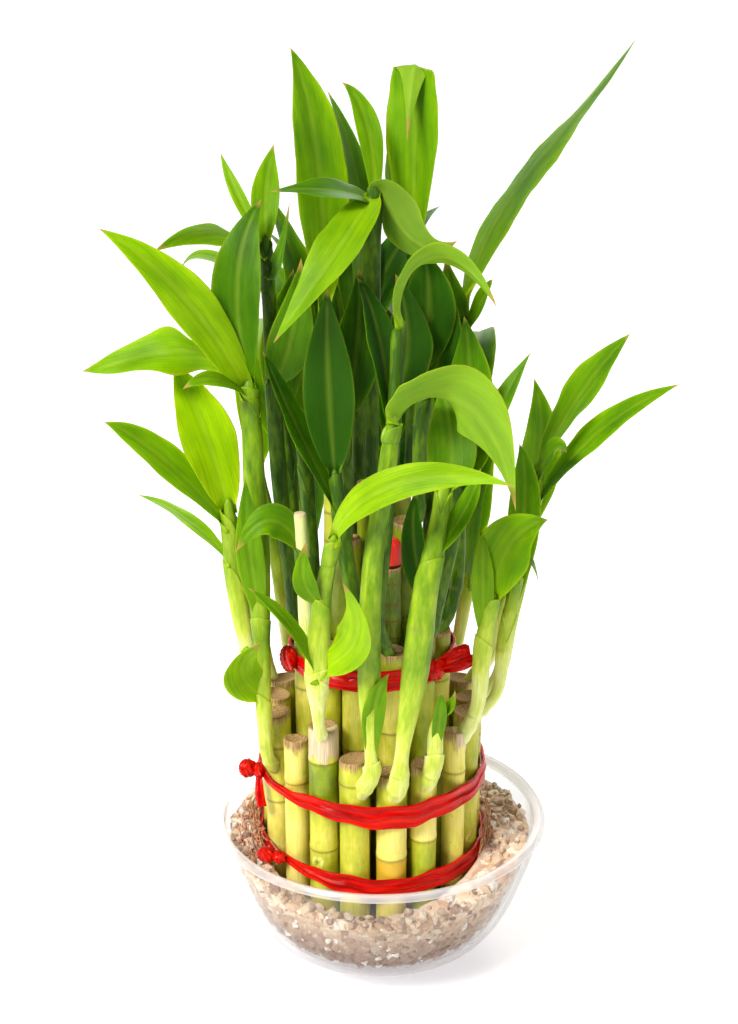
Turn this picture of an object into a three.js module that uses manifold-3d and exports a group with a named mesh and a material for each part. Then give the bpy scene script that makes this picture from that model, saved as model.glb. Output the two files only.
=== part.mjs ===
// Lucky bamboo: three tied tiers of cut canes with leafy shoots, standing in gravel in a clear round bowl.
// Millimetres, +Z up. The origin is the middle of the bowl's underside, and -Y is the front.
import * as THREE from "three";
import { mergeVertices } from "three/addons/utils/BufferGeometryUtils.js";
import Module from "manifold-3d";

const wasm = await Module();
wasm.setup();

// Bowl: radius and height along its outside, from the flat underside to the rolled lip
const BOWL_BASE_RADIUS = 39;
const BOWL_RIM_RADIUS = 65;
const BOWL_HEIGHT = 50;
const BOWL_WALL = 2.4;
const BOWL_SEGMENTS = 34;

// Gravel bed: fills the bowl to a few millimetres under the rim, and dips at the front. The bundle stands in
// a plain recess, which is wider at its mouth for the foil round the bundle's foot.
const GRAVEL_TOP = 42.5;
const FRONT_DIP = 13;
const GRAVEL_SET_IN = 0.5;
const GRAVEL_LIFT = 0.9;
const GRAVEL_SEGMENTS = 32;
const RECESS_RADIUS = 43.4;
const RECESS_MOUTH = 45.4;
const RECESS_LEDGE = 34.6;
const RECESS_FLOOR = 16;
const CLEARANCE = 0.3;

// Canes: the bundle stands a little to the left of the bowl's middle, and each tier is held in a circle that
// its canes touch from inside
const BUNDLE_X = -2.9;
const CANE_FOOT = RECESS_FLOOR + CLEARANCE;
const OUTER_ENVELOPE = 42.5;
const MIDDLE_ENVELOPE = 30.2;
const INNER_ENVELOPE = 18.5;
const CANE_SIDES = { outer: 8, middle: 6, inner: 6 };
const NODE_HEIGHTS = { outer: [57], middle: [105], inner: [141, 163] };
const NODE_SHIFT = 3;
const RIDGE_BULGE = 0.25;
const RIDGE_SPAN = 2.5;
const CUT_SLOPE = 0.6;

// Ribbons: degrees round from the front towards +X, height of the foil's middle, and its width
const FOOT_RIBBON = [
  [-180, 41.5, 6], [-100, 43, 4.5], [-45, 44.2, 3.2], [-30, 43, 5.2], [-14, 41.6, 7.8], [3, 40, 7.6],
  [20, 39.6, 7.4], [32, 40.3, 7.7], [60, 39.8, 7.2], [120, 41, 6.5], [180, 41.5, 6],
];
const LOWER_RIBBON = [
  [-180, 70, 8], [-100, 71.5, 5], [-60, 72.2, 3.2], [-46, 72, 3.6], [-33, 72.2, 6], [-14, 70.7, 7.6],
  [3, 69.3, 9.3], [20, 68.8, 9.3], [32, 70.2, 8.6], [68, 69.9, 7.8], [120, 70, 8], [180, 70, 8],
];
const UPPER_RIBBON = [
  [-180, 118, 8], [-66, 118, 6.5], [-30, 117.8, 8], [0, 117.6, 8.5], [40, 118, 7.5], [100, 118, 8],
  [180, 118, 8],
];
const RIBBON_SEGMENTS = 30;
const RIBBON_CLEARANCE = 0.5;

// Wax cap on the thin inner cane
const WAX_LENGTH = 10;
const WAX_OVERHANG = 0.5;
const WAX_SIDES = 10;

// Blades: thickness at the midrib, how far the edges lift, and the stations along the length
const BLADE_THICKNESS = 1.3;
const BLADE_FOLD = 0.2;
const BLADE_STATIONS = [0, 0.14, 0.34, 0.57, 0.8];
const STEM_SIDES = 6;

// Grid that keeps the blades of different canes apart
const CELL = 2.3;
const SAMPLE_STEP = 1.3;
const YAW_STEP = 6;
const YAW_LIMIT = 54;
const PITCH_STEP = 6;
const PITCH_LIMIT = 24;
const SIDE_REACH = 50;

const UP = new THREE.Vector3(0, 0, 1);
const radians = THREE.MathUtils.degToRad;

// Canes of the outer tier: degrees round from the front towards +X, radius, height of the cut top
const OUTER_CANES = [
  [-90, 5.7, 99], [-71, 5.0, 97], [-48, 4.7, 92.5], [-28.7, 5.5, 101], [-10, 5.7, 90], [11.3, 5.7, 84],
  [30.5, 4.9, 86], [53.3, 4.4, 94.5], [72, 5.0, 97], [90, 5.4, 98], [110, 5.7, 100], [130, 5.6, 98],
  [150, 5.7, 101], [170, 5.6, 97], [-170, 5.7, 99], [-150, 5.6, 102], [-130, 5.7, 98], [-110, 5.6, 100],
];

// Canes of the middle tier
const MIDDLE_CANES = [
  [-73, 5.5, 128], [-43, 5.6, 127], [-13, 5.5, 129], [17, 5.6, 127], [47, 5.4, 130], [77, 5.5, 128],
  [107, 5.6, 129], [137, 5.5, 127], [167, 5.6, 130], [-163, 5.5, 128], [-133, 5.6, 129], [-103, 5.4, 127],
];

// Canes of the inner tier; the first is the thin one with the wax cap, and the last stands in the middle
const INNER_CANES = [
  [28, 3.8, 156], [75, 5.4, 170], [135, 5.6, 178], [-165, 5.5, 174], [-105, 5.4, 187], [-45, 5.3, 166],
];
const CENTRE_CANE = [0, 5.6, 184];

// Shoots that show from the front. Each path holds the points that the stem runs through after it leaves its
// cane, and girth is the stem's radius at each of them. A foot is the height where a stem leaves the cane's
// side, for one that springs from well below the cut. Each blade: place along the stem from 0 to 1, width,
// compass heading of its upper face's fall, turn about the midrib (at its base and its tip, where they
// differ), and the points from base to tip.
const SHOOTS = {
  cane_outer_01: {
    path: [[-49, 0, 112], [-54, 2, 142], [-56, 3, 174]],
    girth: [2.6, 3.4, 2.8],
    blades: [
      [0.97, 21, 180, -60, [[-65, 6, 203], [-76, 14, 225]]],
      [0.93, 14, 196, [-39, -63], [[-80, -2, 194], [-99, -6, 208]]],
      [0.82, 8, 165, -10, [[-74, 12, 166], [-93, 22, 172]]],
      [0.55, 8, 180, 0, [[-57, 5, 142], [-58, 8, 156]]],
    ],
  },
  cane_outer_02: {
    foot: 77,
    path: [[-42.5, -21.5, 88], [-43, -23, 128], [-44, -20, 161], [-45, -16, 197], [-46, -13, 223]],
    girth: [2.4, 2.7, 3.9, 3.3, 3],
    blades: [
      [0.97, 17, 180, -55, [[-67, -22, 256], [-94, -24, 279]]],
      [0.97, 18, 96, [-104, -115], [[-64, 0, 232], [-86, 2, 230], [-108, 5, 224]]],
      [0.97, 7, 223, [-33, -49], [[-57, -26, 228], [-67, -32, 226]]],
      [0.99, 18, 77, [-9, 8], [[-49, -12, 260], [-41, -1, 286]]],
      [0.42, 15, 180, -65, [[-50, -31, 122], [-42, -38, 136]]],
      [0.55, 10, 90, 0, [[-46, -28, 168], [-47, -27, 194]]],
    ],
  },
  cane_outer_04: {
    path: [[-22, -43, 110], [-22, -46, 131], [-20, -45, 156], [-16, -46, 177]],
    girth: [2.2, 3.9, 2.7, 2.3],
    blades: [
      [0.56, 8, 197, [-27, -45], [[-31, -52, 148], [-45, -54, 163]]],
      [0.58, 15, 0, 50, [[-8, -58, 147], [-13, -62, 168]]],
      [0.78, 8, 90, 0, [[-26, -50, 164], [-25, -49, 178]]],
      [0.99, 12, -23, [58, 74], [[-4, -58, 196], [18, -64, 205], [42, -76, 205]]],
    ],
  },
  cane_outer_05: {
    foot: 80,
    path: [[-3, -43.7, 88], [-3.5, -45.5, 99], [-4, -48, 125], [-3, -47, 166], [2, -45, 202], [4, -45, 219]],
    girth: [3.1, 2, 3.5, 3.1, 2.7, 2.7],
    blades: [
      [0.98, 28, -136, [104, 182], [[13, -44, 226], [30, -52, 224], [43, -70, 195]]],
      [0.36, 8, 90, 0, [[-2, -50, 117], [3, -51, 130]]],
    ],
  },
  cane_outer_06: {
    foot: 79.5,
    path: [[7, -43.5, 86], [8, -46, 99], [12, -49, 130], [15, -48, 157], [19, -44, 178], [22, -40, 197]],
    girth: [3.4, 2.3, 4.2, 3.9, 3, 2.4],
    blades: [
      [0.97, 17, 90, 0, [[24, -37, 209], [20, -34, 233]]],
      [0.8, 9, 0, 40, [[29, -44, 188], [33, -48, 203]]],
    ],
  },
  cane_outer_07: {
    foot: 81,
    path: [[19.5, -40.5, 92], [20, -43, 112]],
    girth: [2.9, 1.5],
    blades: [
      [0.97, 5, 0, 30, [[25, -45, 115], [26, -47, 122]]],
      [0.7, 5, 90, 0, [[21, -46, 112], [21, -47, 121]]],
    ],
  },
  cane_outer_08: {
    path: [[36, -24, 106], [37, -26, 128], [40, -29, 150]],
    girth: [2.5, 2.9, 2.3],
    blades: [
      [0.98, 20, 0, 60, [[45, -36, 172], [57, -42, 183]]],
      [0.8, 8, 90, 0, [[36, -32, 158], [36, -32, 176]]],
    ],
  },
  cane_outer_09: {
    path: [[44, -13, 106], [46, -15, 128], [50, -18, 154]],
    girth: [2, 2.4, 1.6],
    blades: [
      [0.98, 6, 12, 18, [[53, -26, 162], [57, -22, 152]]],
      [0.85, 12, 90, 0, [[52, -12, 178], [50, -6, 200]]],
    ],
  },
  cane_outer_10: {
    path: [[46, 0, 108], [49, 1, 128], [54, 1, 155], [58, 1, 190]],
    girth: [2.4, 2.8, 2.7, 2.1],
    blades: [
      [0.99, 17, -23, [28, 69], [[73, 4, 216], [89, 0, 239]]],
      [0.9, 12, -23, [30, 66], [[79, -2, 203], [104, -19, 225]]],
      [0.96, 9, 0, 20, [[62, -8, 198], [66, -15, 199]]],
    ],
  },
  cane_outer_11: {
    path: [[44, 17, 108], [48, 20.5, 129], [54.5, 24.5, 157]],
    girth: [2.3, 2.6, 1.8],
    blades: [
      [0.96, 16, 86, 4, [[61, 22, 188], [57, 17, 219]]],
      [0.82, 12, 34, 28, [[66, 40, 176], [76, 52, 180]]],
    ],
  },
  cane_middle_01: {
    path: [[-33, -7, 148], [-37, -3, 190], [-39, 0, 240], [-40, 0, 272]],
    girth: [2.3, 2.6, 2.2, 1.7],
    blades: [
      [0.99, 10, 90, 0, [[-40, 6, 288], [-37, 8, 304]]],
      [0.95, 14, 146, [213, 226], [[-58, 6, 274], [-80, 4, 267]]],
      [0.88, 8, 170, -20, [[-62, 20, 263], [-73, 26, 258]]],
      [0.92, 8, 0, 30, [[-35, -6, 266], [-31, -8, 286]]],
      [0.98, 5, 90, 0, [[-51, 16, 286], [-57, 22, 300]]],
      [0.72, 16, 90, 0, [[-31, -12, 240], [-27, -15, 268]]],
    ],
  },
  cane_middle_02: {
    path: [[-26, -28, 137], [-27, -31, 159], [-28, -33, 182]],
    girth: [2.8, 2.4, 2.1],
    blunt: true,
    blades: [
      [0.85, 12, 180, -60, [[-38, -37, 181], [-50, -39, 170]]],
    ],
  },
  cane_middle_03: {
    path: [[-9, -29, 145], [-13, -27, 170], [-16, -24, 194]],
    girth: [2.2, 2.6, 1.8],
    blades: [
      [0.99, 18, 90, 0, [[-18, -15, 226], [-18, -11, 258]]],
      [0.85, 12, 180, -30, [[-27, -22, 215], [-34, -24, 240]]],
    ],
  },
  cane_middle_04: {
    path: [[-1, -33, 145], [1, -33, 172], [4, -30, 208], [6, -29, 249]],
    girth: [2.2, 2.6, 2.3, 1.8],
    blades: [
      [0.99, 13, 20, [-42, -38], [[10, -31, 266], [23, -30, 270], [38, -41, 255]]],
      [0.8, 14, 180, -40, [[-8, -24, 241], [-19, -18, 258]]],
      [0.86, 18, 90, 0, [[16, -19, 240], [14, -14, 262]]],
    ],
  },
  cane_middle_05: {
    path: [[22, -24, 152], [26, -22, 175], [27, -19, 197]],
    girth: [2.2, 2.6, 1.8],
    blades: [
      [0.98, 17, 90, 0, [[31, -15, 222], [29, -10, 247]]],
      [0.8, 11, 0, 45, [[39, -14, 209], [53, -8, 234]]],
      [0.35, 11, 79, [-30, -3], [[12.5, -27, 165], [12.5, -25, 189]]],
    ],
  },
  cane_middle_06: {
    path: [[29, 0, 146], [29, 5, 178], [29, 10, 212], [30, 11, 250]],
    girth: [2.2, 2.6, 2.3, 1.7],
    blades: [
      [0.99, 17, -41, [163, 196], [[44, 6, 284], [65, 4, 312], [87, 8, 339]]],
      [0.95, 10, 90, 0, [[26, 6, 250], [23, 4, 266]]],
      [0.92, 9, 0, 20, [[36, 2, 250], [39, -5, 259]]],
    ],
  },
  cane_middle_12: {
    path: [[-31, 7, 150], [-34, 9, 180], [-36, 10, 208]],
    girth: [2.2, 2.6, 1.7],
    blades: [
      [0.98, 17, 90, 0, [[-35, 12, 234], [-31, 12, 260]]],
      [0.85, 13, 150, -25, [[-48, 22, 218], [-58, 32, 236]]],
    ],
  },
  cane_inner_02: {
    path: [[14, -6, 192], [15, -6, 212], [15, -5, 228]],
    girth: [2.2, 2.5, 1.8],
    blades: [
      [0.98, 19, 90, 0, [[17, -1, 250], [15, 4, 268]]],
      [0.8, 14, 90, 0, [[22, -2, 236], [23, 2, 258]]],
    ],
  },
  cane_inner_03: {
    path: [[12, 12, 205], [12, 14, 240], [12, 14, 272]],
    girth: [2.2, 2.5, 1.8],
    blades: [
      [0.98, 21, 66, [-10, -10], [[12, 13, 303], [12, 15, 329], [9, 2, 305]]],
      [0.97, 12, 108, 38, [[5, 22, 285], [3, 26, 307]]],
    ],
  },
  cane_inner_05: {
    path: [[-18, 4, 200], [-20, 4, 224], [-20, 4, 246]],
    girth: [2.2, 2.6, 1.9],
    blades: [
      [0.99, 20, 41, [73, 84], [[-22, 5, 301], [-31, 10, 336]]],
      [0.8, 14, 180, -30, [[-33, 20, 264], [-29, 24, 280]]],
    ],
  },
  cane_inner_06: {
    path: [[-12, -13, 186], [-13, -15, 200], [-13, -15, 212]],
    girth: [2.2, 2.5, 1.8],
    blades: [
      [0.98, 17, 90, 0, [[-8, -15, 238], [-7, -13, 264]]],
      [0.8, 13, 90, 0, [[-20, -12, 218], [-24, -8, 240]]],
    ],
  },
  cane_inner_07: {
    path: [[-3, -4, 215], [-3, -5, 250], [-2, -3, 290]],
    girth: [2.3, 2.6, 2],
    blades: [
      [0.99, 17, 200, -35, [[-15, -24, 271], [-36, -33, 242]]],
      [0.97, 12, 190, [-22, -32], [[-17, -12, 290], [-37, -15, 290]]],
      [0.97, 19, -8, [-35, -84], [[2, -4, 285], [11, -12, 274], [26, -17, 274]]],
      [0.97, 9, 162, -48, [[-10, 12, 309], [-21, 18, 320]]],
    ],
  },
};

// Shoots at the sides and back follow one rule: height, lean outwards, and number of blades
const RULED_GIRTH = [2.3, 2.4, 1.6];
const RULED_SHOOTS = {
  cane_outer_12: [150, 12, 2],
  cane_outer_13: [178, 15, 2],
  cane_outer_14: [165, 14, 3],
  cane_outer_15: [184, 16, 2],
  cane_outer_16: [168, 13, 3],
  cane_outer_17: [180, 14, 2],
  cane_outer_18: [160, 12, 3],
  cane_middle_07: [190, 8, 2],
  cane_middle_08: [204, 9, 3],
  cane_middle_09: [222, 10, 3],
  cane_middle_10: [208, 9, 3],
  cane_middle_11: [218, 10, 3],
  cane_inner_04: [246, 4, 3],
};

// Repeatable random number from -1 to 1 for a whole number
function wobble(index) {
  const wave = Math.sin(12.9898 * index + 4.1414) * 43758.5453;
  return 2 * (wave - Math.floor(wave)) - 1;
}

// Closed solid from rings of points that run round an axis anticlockwise as seen from the last ring.
// An end is a flat cap, or a fan to the given point. A looped solid joins its last ring to its first. On
// mirrored solids the second half of each ring is split the other way, so that both faces of a blade match.
function skin(rings, { start = null, end = null, looped = false, mirrored = false } = {}) {
  const count = rings[0].length;
  const positions = rings.flat().flatMap((p) => [p.x, p.y, p.z]);
  const index = [];
  const bands = looped ? rings.length : rings.length - 1;
  for (let i = 0; i < bands; i++) {
    const near = i * count;
    const far = ((i + 1) % rings.length) * count;
    for (let j = 0; j < count; j++) {
      const next = (j + 1) % count;
      if (mirrored && j >= count / 2) {
        index.push(near + j, near + next, far + j, near + next, far + next, far + j);
      } else {
        index.push(near + j, near + next, far + next, near + j, far + next, far + j);
      }
    }
  }
  if (!looped) {
    capEnd(positions, index, 0, count, start, true);
    capEnd(positions, index, (rings.length - 1) * count, count, end, false);
  }
  const geometry = new THREE.BufferGeometry();
  geometry.setAttribute("position", new THREE.Float32BufferAttribute(positions, 3));
  geometry.setIndex(index);
  return geometry;
}

// Closes one end of a skin
function capEnd(positions, index, first, count, point, backwards) {
  const add = (a, b, c) => (backwards ? index.push(a, c, b) : index.push(a, b, c));
  if (point) {
    const apex = positions.length / 3;
    positions.push(point.x, point.y, point.z);
    for (let j = 0; j < count; j++) add(apex, first + j, first + ((j + 1) % count));
  } else {
    for (let j = 1; j < count - 1; j++) add(first, first + j, first + j + 1);
  }
}

// Solid for joining and cutting
function toManifold(geometry) {
  const merged = mergeVertices(geometry, 1e-4);
  const vertProperties = new Float32Array(merged.attributes.position.array);
  const triVerts = new Uint32Array(merged.index.array);
  return new wasm.Manifold(new wasm.Mesh({ numProp: 3, vertProperties, triVerts }));
}

// Geometry of the pieces joined into one body
function fuse(pieces) {
  const whole = pieces.map(toManifold).reduce((sum, piece) => sum.add(piece));
  const mesh = whole.getMesh();
  const geometry = new THREE.BufferGeometry();
  geometry.setAttribute("position", new THREE.Float32BufferAttribute(mesh.vertProperties, 3));
  geometry.setIndex(Array.from(mesh.triVerts));
  return geometry;
}

// Ring of points round the Z axis
function levelRing(radius, z, sides) {
  return Array.from({ length: sides }, (_, j) => {
    const angle = (2 * Math.PI * j) / sides;
    return new THREE.Vector3(radius * Math.cos(angle), radius * Math.sin(angle), z);
  });
}

// Ring of points round any axis point, in the plane of the two given directions
function tiltedRing(centre, across, over, radius, sides) {
  return Array.from({ length: sides }, (_, j) => {
    const angle = (2 * Math.PI * j) / sides;
    return centre
      .clone()
      .addScaledVector(across, radius * Math.cos(angle))
      .addScaledVector(over, radius * Math.sin(angle));
  });
}

// Outside of the bowl as [radius, height], from the underside's edge to the lip's top
const BOWL_OUTSIDE = [
  [BOWL_BASE_RADIUS, 0],
  [44, 2.5],
  [49, 8],
  [53.5, 16],
  [58, 28],
  [61.5, 39],
  [62.6, 45.8],
  [BOWL_RIM_RADIUS, 47.6],
  [63.6, BOWL_HEIGHT],
];

// Inside of the bowl as [radius, height], from the lip down to the floor's edge
const BOWL_INSIDE = [
  [60.6, 48],
  [59.1, 39],
  [55.6, 28.2],
  [51.2, 16.6],
  [47, 9.2],
  [42.6, 4.6],
  [38.5, BOWL_WALL + 0.4],
];

function bowl() {
  const rings = [...BOWL_OUTSIDE, ...BOWL_INSIDE].map(([r, z]) => levelRing(r, z, BOWL_SEGMENTS));
  return skin(rings, { start: new THREE.Vector3(0, 0, 0), end: new THREE.Vector3(0, 0, BOWL_WALL) });
}

// Radius of the bowl's inside at a height
function insideRadius(z) {
  const below = BOWL_INSIDE.findIndex(([, height]) => height <= z);
  const [lowRadius, low] = BOWL_INSIDE[below];
  const [highRadius, high] = BOWL_INSIDE[below - 1];
  return THREE.MathUtils.mapLinear(z, low, high, lowRadius, highRadius);
}

// Height of the gravel's top at an angle round from +X
function gravelTop(angle) {
  return GRAVEL_TOP - FRONT_DIP * Math.max(0, -Math.sin(angle)) ** 2;
}

// Rings over the top of the gravel: place from 0 at the recess to 1 at the glass, height against the bed's
// top, and height of the lumps
const GRAVEL_CROWN = [
  [1, -0.6, 0.4],
  [0.72, 0, 1.5],
  [0.42, 0, 1.5],
  [0.15, 0, 1],
  [0, -0.8, 0],
];

// Ring of the gravel. The given function tells radius, height and place from 1 round the bowl's middle to 0
// round the bundle's middle, for an angle.
function gravelRing(row, lump, place) {
  return Array.from({ length: GRAVEL_SEGMENTS }, (_, j) => {
    const angle = (2 * Math.PI * j) / GRAVEL_SEGMENTS;
    const [radius, z, share] = place(angle);
    const reach = lump > 0 ? radius - 0.4 - 0.4 * wobble(row * 97 + j) : radius;
    const x = reach * Math.cos(angle) + (1 - share) * BUNDLE_X;
    return new THREE.Vector3(x, reach * Math.sin(angle), z + lump * wobble(row * 61 + j));
  });
}

// Gravel: its side follows the bowl's inside, its top is lumpy, and the bundle's recess is plain
function gravel() {
  const bottom = BOWL_INSIDE.at(-1)[1];
  const side = BOWL_INSIDE.filter(([, z]) => z < GRAVEL_TOP).reverse();
  const rings = side.map(([, height], row) =>
    gravelRing(row, 0.3, (angle) => {
      const z = THREE.MathUtils.mapLinear(height, bottom, GRAVEL_TOP, bottom, gravelTop(angle));
      return [insideRadius(z) - CLEARANCE - GRAVEL_SET_IN, z + GRAVEL_LIFT, 1];
    }),
  );
  GRAVEL_CROWN.forEach(([share, rise, lump], row) => {
    rings.push(gravelRing(row + 20, lump, (angle) => {
      const top = gravelTop(angle);
      const edge = insideRadius(top) - CLEARANCE - 1.6 * GRAVEL_SET_IN;
      return [THREE.MathUtils.lerp(RECESS_MOUTH, edge, share), top + rise, share];
    }));
  });
  const ledge = (angle) => Math.min(RECESS_LEDGE, gravelTop(angle) - 2.2);
  rings.push(gravelRing(0, 0, (angle) => [RECESS_MOUTH, ledge(angle), 0]));
  rings.push(gravelRing(0, 0, (angle) => [RECESS_RADIUS, ledge(angle) - 0.8, 0]));
  rings.push(gravelRing(0, 0, () => [RECESS_RADIUS, RECESS_FLOOR, 0]));
  const floor = BOWL_WALL + CLEARANCE + GRAVEL_SET_IN;
  const start = new THREE.Vector3(0, 0, floor);
  const end = new THREE.Vector3(BUNDLE_X, 0, RECESS_FLOOR);
  return skin(rings, { start, end });
}

// Direction out of the bundle, for degrees round from the front towards +X
function outwardWay(degreesRound) {
  return new THREE.Vector3(Math.sin(radians(degreesRound)), -Math.cos(radians(degreesRound)), 0);
}

// Place in or round the bundle: degrees round from the front, distance from the bundle's middle, height
function bundlePlace(degreesRound, reach, z) {
  return outwardWay(degreesRound).multiplyScalar(reach).add(new THREE.Vector3(BUNDLE_X, 0, z));
}

// One cane: straight, with a raised node ring at each joint and a slightly sloping cut top
function caneBody(cane) {
  const nodes = cane.nodes.filter((z) => z < cane.top - 2 * RIDGE_SPAN);
  const stations = [[CANE_FOOT, 0]];
  for (const z of nodes) stations.push([z - RIDGE_SPAN, 0], [z, RIDGE_BULGE], [z + RIDGE_SPAN, 0]);
  const rings = stations.map(([z, bulge]) => caneRing(cane, z, cane.radius + bulge, 0));
  rings.push(caneRing(cane, cane.top, cane.radius, CUT_SLOPE));
  return skin(rings);
}

function caneRing(cane, z, radius, slope) {
  const sides = CANE_SIDES[cane.tier];
  return Array.from({ length: sides }, (_, j) => {
    const angle = cane.turn + (2 * Math.PI * j) / sides;
    const rise = slope * Math.cos(angle + 7 * cane.turn);
    return new THREE.Vector3(
      cane.centre.x + radius * Math.cos(angle),
      cane.centre.y + radius * Math.sin(angle),
      z + rise,
    );
  });
}

// Smooth curve through the points: each span is a cubic whose end slopes are half of its neighbours'
// difference
function splinePoint(points, u) {
  const spans = points.length - 1;
  const i = Math.min(Math.floor(u * spans), spans - 1);
  const t = u * spans - i;
  const a = points[i];
  const b = points[i + 1];
  const slopeA = i > 0 ? b.clone().sub(points[i - 1]).multiplyScalar(0.5) : b.clone().sub(a);
  const slopeB = i + 2 < points.length ? points[i + 2].clone().sub(a).multiplyScalar(0.5) : b.clone().sub(a);
  return a
    .clone()
    .multiplyScalar(2 * t ** 3 - 3 * t ** 2 + 1)
    .addScaledVector(slopeA, t ** 3 - 2 * t ** 2 + t)
    .addScaledVector(b, -2 * t ** 3 + 3 * t ** 2)
    .addScaledVector(slopeB, t ** 3 - t ** 2);
}

// Direction of the spline
function splineTangent(points, u) {
  const low = splinePoint(points, Math.max(0, u - 0.002));
  return splinePoint(points, Math.min(1, u + 0.002)).sub(low).normalize();
}

// Points that a shoot's stem runs through: it starts inside the cane and leaves it on the side of its path
function stemPoints(cane, { path, foot }) {
  const points = path.map((p) => new THREE.Vector3(...p));
  const way = points[0].clone().sub(cane.centre).setZ(0).setLength(1);
  const usual = cane.tier === "outer" ? cane.top - 1 : cane.top + 3;
  const side = cane.centre.clone().addScaledVector(way, cane.radius * 0.9).setZ(foot ?? usual);
  const inside = cane.centre.clone().setZ(cane.tier === "outer" ? side.z - 7 : cane.top - 3);
  return [inside, side, ...points];
}

// Stem: a tube with one ring at each of its points, pointed at the top, or cut flat where it was trimmed
function stemRings(points, girth) {
  const radii = [girth[0], girth[0], ...girth];
  return points.map((point, i) => {
    const tangent = splineTangent(points, i / (points.length - 1));
    const across = new THREE.Vector3(1, 0, 0).addScaledVector(tangent, -tangent.x).normalize();
    const over = tangent.clone().cross(across);
    return tiltedRing(point, across, over, radii[i], STEM_SIDES);
  });
}

function stemBody(points, girth, blunt) {
  const rings = stemRings(points, girth);
  const end = blunt ? null : splinePoint(points, 1).addScaledVector(splineTangent(points, 1), girth.at(-1));
  return skin(rings, { end });
}

// Midrib: the polynomial through equally spaced points
function midribPoint(points, t) {
  const last = points.length - 1;
  const result = new THREE.Vector3();
  points.forEach((point, i) => {
    let weight = 1;
    points.forEach((_, k) => {
      if (k !== i) weight *= (t * last - k) / (i - k);
    });
    result.addScaledVector(point, weight);
  });
  return result;
}

// Share of the full width: a stalk that clasps the stem, widest past a third, drawn out to a long tip
function bladeShare(t) {
  return Math.sin(Math.PI * t ** 0.82) ** 1.1 + 0.27 * (1 - t) ** 8;
}

// The blade's centre, sideways and upper directions at one place along it
function bladeFrame(points, heading, turn, t) {
  const low = midribPoint(points, Math.max(0, t - 0.002));
  const tangent = midribPoint(points, Math.min(1, t + 0.002)).sub(low).normalize();
  const level = new THREE.Vector3(-Math.sin(radians(heading)), Math.cos(radians(heading)), 0);
  const across = level.addScaledVector(tangent, -level.dot(tangent)).normalize();
  const over = tangent.clone().cross(across);
  const [first, last] = Array.isArray(turn) ? turn : [turn, turn];
  const angle = radians(THREE.MathUtils.lerp(first, last, t));
  return {
    centre: midribPoint(points, t),
    across: across.clone().multiplyScalar(Math.cos(angle)).addScaledVector(over, Math.sin(angle)),
    over: over.clone().multiplyScalar(Math.cos(angle)).addScaledVector(across, -Math.sin(angle)),
  };
}

// Rings of a blade: one edge, the upper face, the other edge and the under face, with the edges lifted
function bladeRings(blade) {
  return BLADE_STATIONS.map((t) => {
    const { centre, across, over } = bladeFrame(blade.points, blade.heading, blade.turn, t);
    const half = 0.5 * blade.width * bladeShare(t);
    const lift = BLADE_FOLD * half;
    return [
      centre.clone().addScaledVector(across, half).addScaledVector(over, lift),
      centre.clone().addScaledVector(over, BLADE_THICKNESS / 2),
      centre.clone().addScaledVector(across, -half).addScaledVector(over, lift),
      centre.clone().addScaledVector(over, -BLADE_THICKNESS / 2),
    ];
  });
}

function bladeBody(blade) {
  return skin(bladeRings(blade), { end: blade.points.at(-1), mirrored: true });
}

// Cells of space that are taken, each by the name of the piece in it
const taken = new Map();

function cellKey(x, y, z) {
  return (x + 500) * 1e6 + (y + 500) * 1e3 + (z + 500);
}

function markCells(samples, name) {
  for (const p of samples) {
    const [x, y, z] = [p.x, p.y, p.z].map((v) => Math.floor(v / CELL));
    for (let i = -1; i <= 1; i++) {
      for (let j = -1; j <= 1; j++) {
        for (let k = -1; k <= 1; k++) {
          const key = cellKey(x + i, y + j, z + k);
          if (!taken.has(key)) taken.set(key, name);
        }
      }
    }
  }
}

// Number of samples that lie in cells of other pieces
function countClashes(samples, name) {
  let clashes = 0;
  for (const p of samples) {
    const owner = taken.get(cellKey(...[p.x, p.y, p.z].map((v) => Math.floor(v / CELL))));
    if (owner !== undefined && owner !== name) clashes += 1;
  }
  return clashes;
}

// Points over the surface between rings, no further apart than the sample step
function surfaceSamples(rings, closed) {
  const samples = [];
  for (let i = 0; i + 1 < rings.length; i++) {
    const count = rings[i].length;
    for (let j = 0; j < (closed ? count : count - 1); j++) {
      const after = (j + 1) % count;
      const corners = [rings[i][j], rings[i][after], rings[i + 1][j], rings[i + 1][after]];
      const along = Math.max(corners[0].distanceTo(corners[2]), corners[1].distanceTo(corners[3]));
      const round = Math.max(corners[0].distanceTo(corners[1]), corners[2].distanceTo(corners[3]));
      const rows = Math.ceil(along / SAMPLE_STEP);
      const columns = Math.ceil(round / SAMPLE_STEP);
      for (let a = 0; a <= rows; a++) {
        for (let b = 0; b <= columns; b++) {
          const near = corners[0].clone().lerp(corners[1], b / columns);
          const far = corners[2].clone().lerp(corners[3], b / columns);
          samples.push(near.lerp(far, a / rows));
        }
      }
    }
  }
  return samples;
}

// Samples of a blade past its stalk
function bladeSamples(blade) {
  const rings = bladeRings(blade).slice(1);
  const tip = blade.points.at(-1);
  rings.push([tip, tip, tip, tip]);
  return surfaceSamples(rings.map(([edge, upper, other]) => [edge, upper, other]), false);
}

// The blade with its points turned about its base
function turnedBlade(blade, yaw, pitch) {
  const base = blade.points[0];
  const along = radians(blade.heading);
  const level = new THREE.Vector3(-Math.sin(along), Math.cos(along), 0);
  const points = blade.points.map((p) =>
    p.clone().sub(base).applyAxisAngle(level, radians(pitch)).applyAxisAngle(UP, radians(yaw)).add(base),
  );
  return { ...blade, points, heading: blade.heading + yaw };
}

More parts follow.
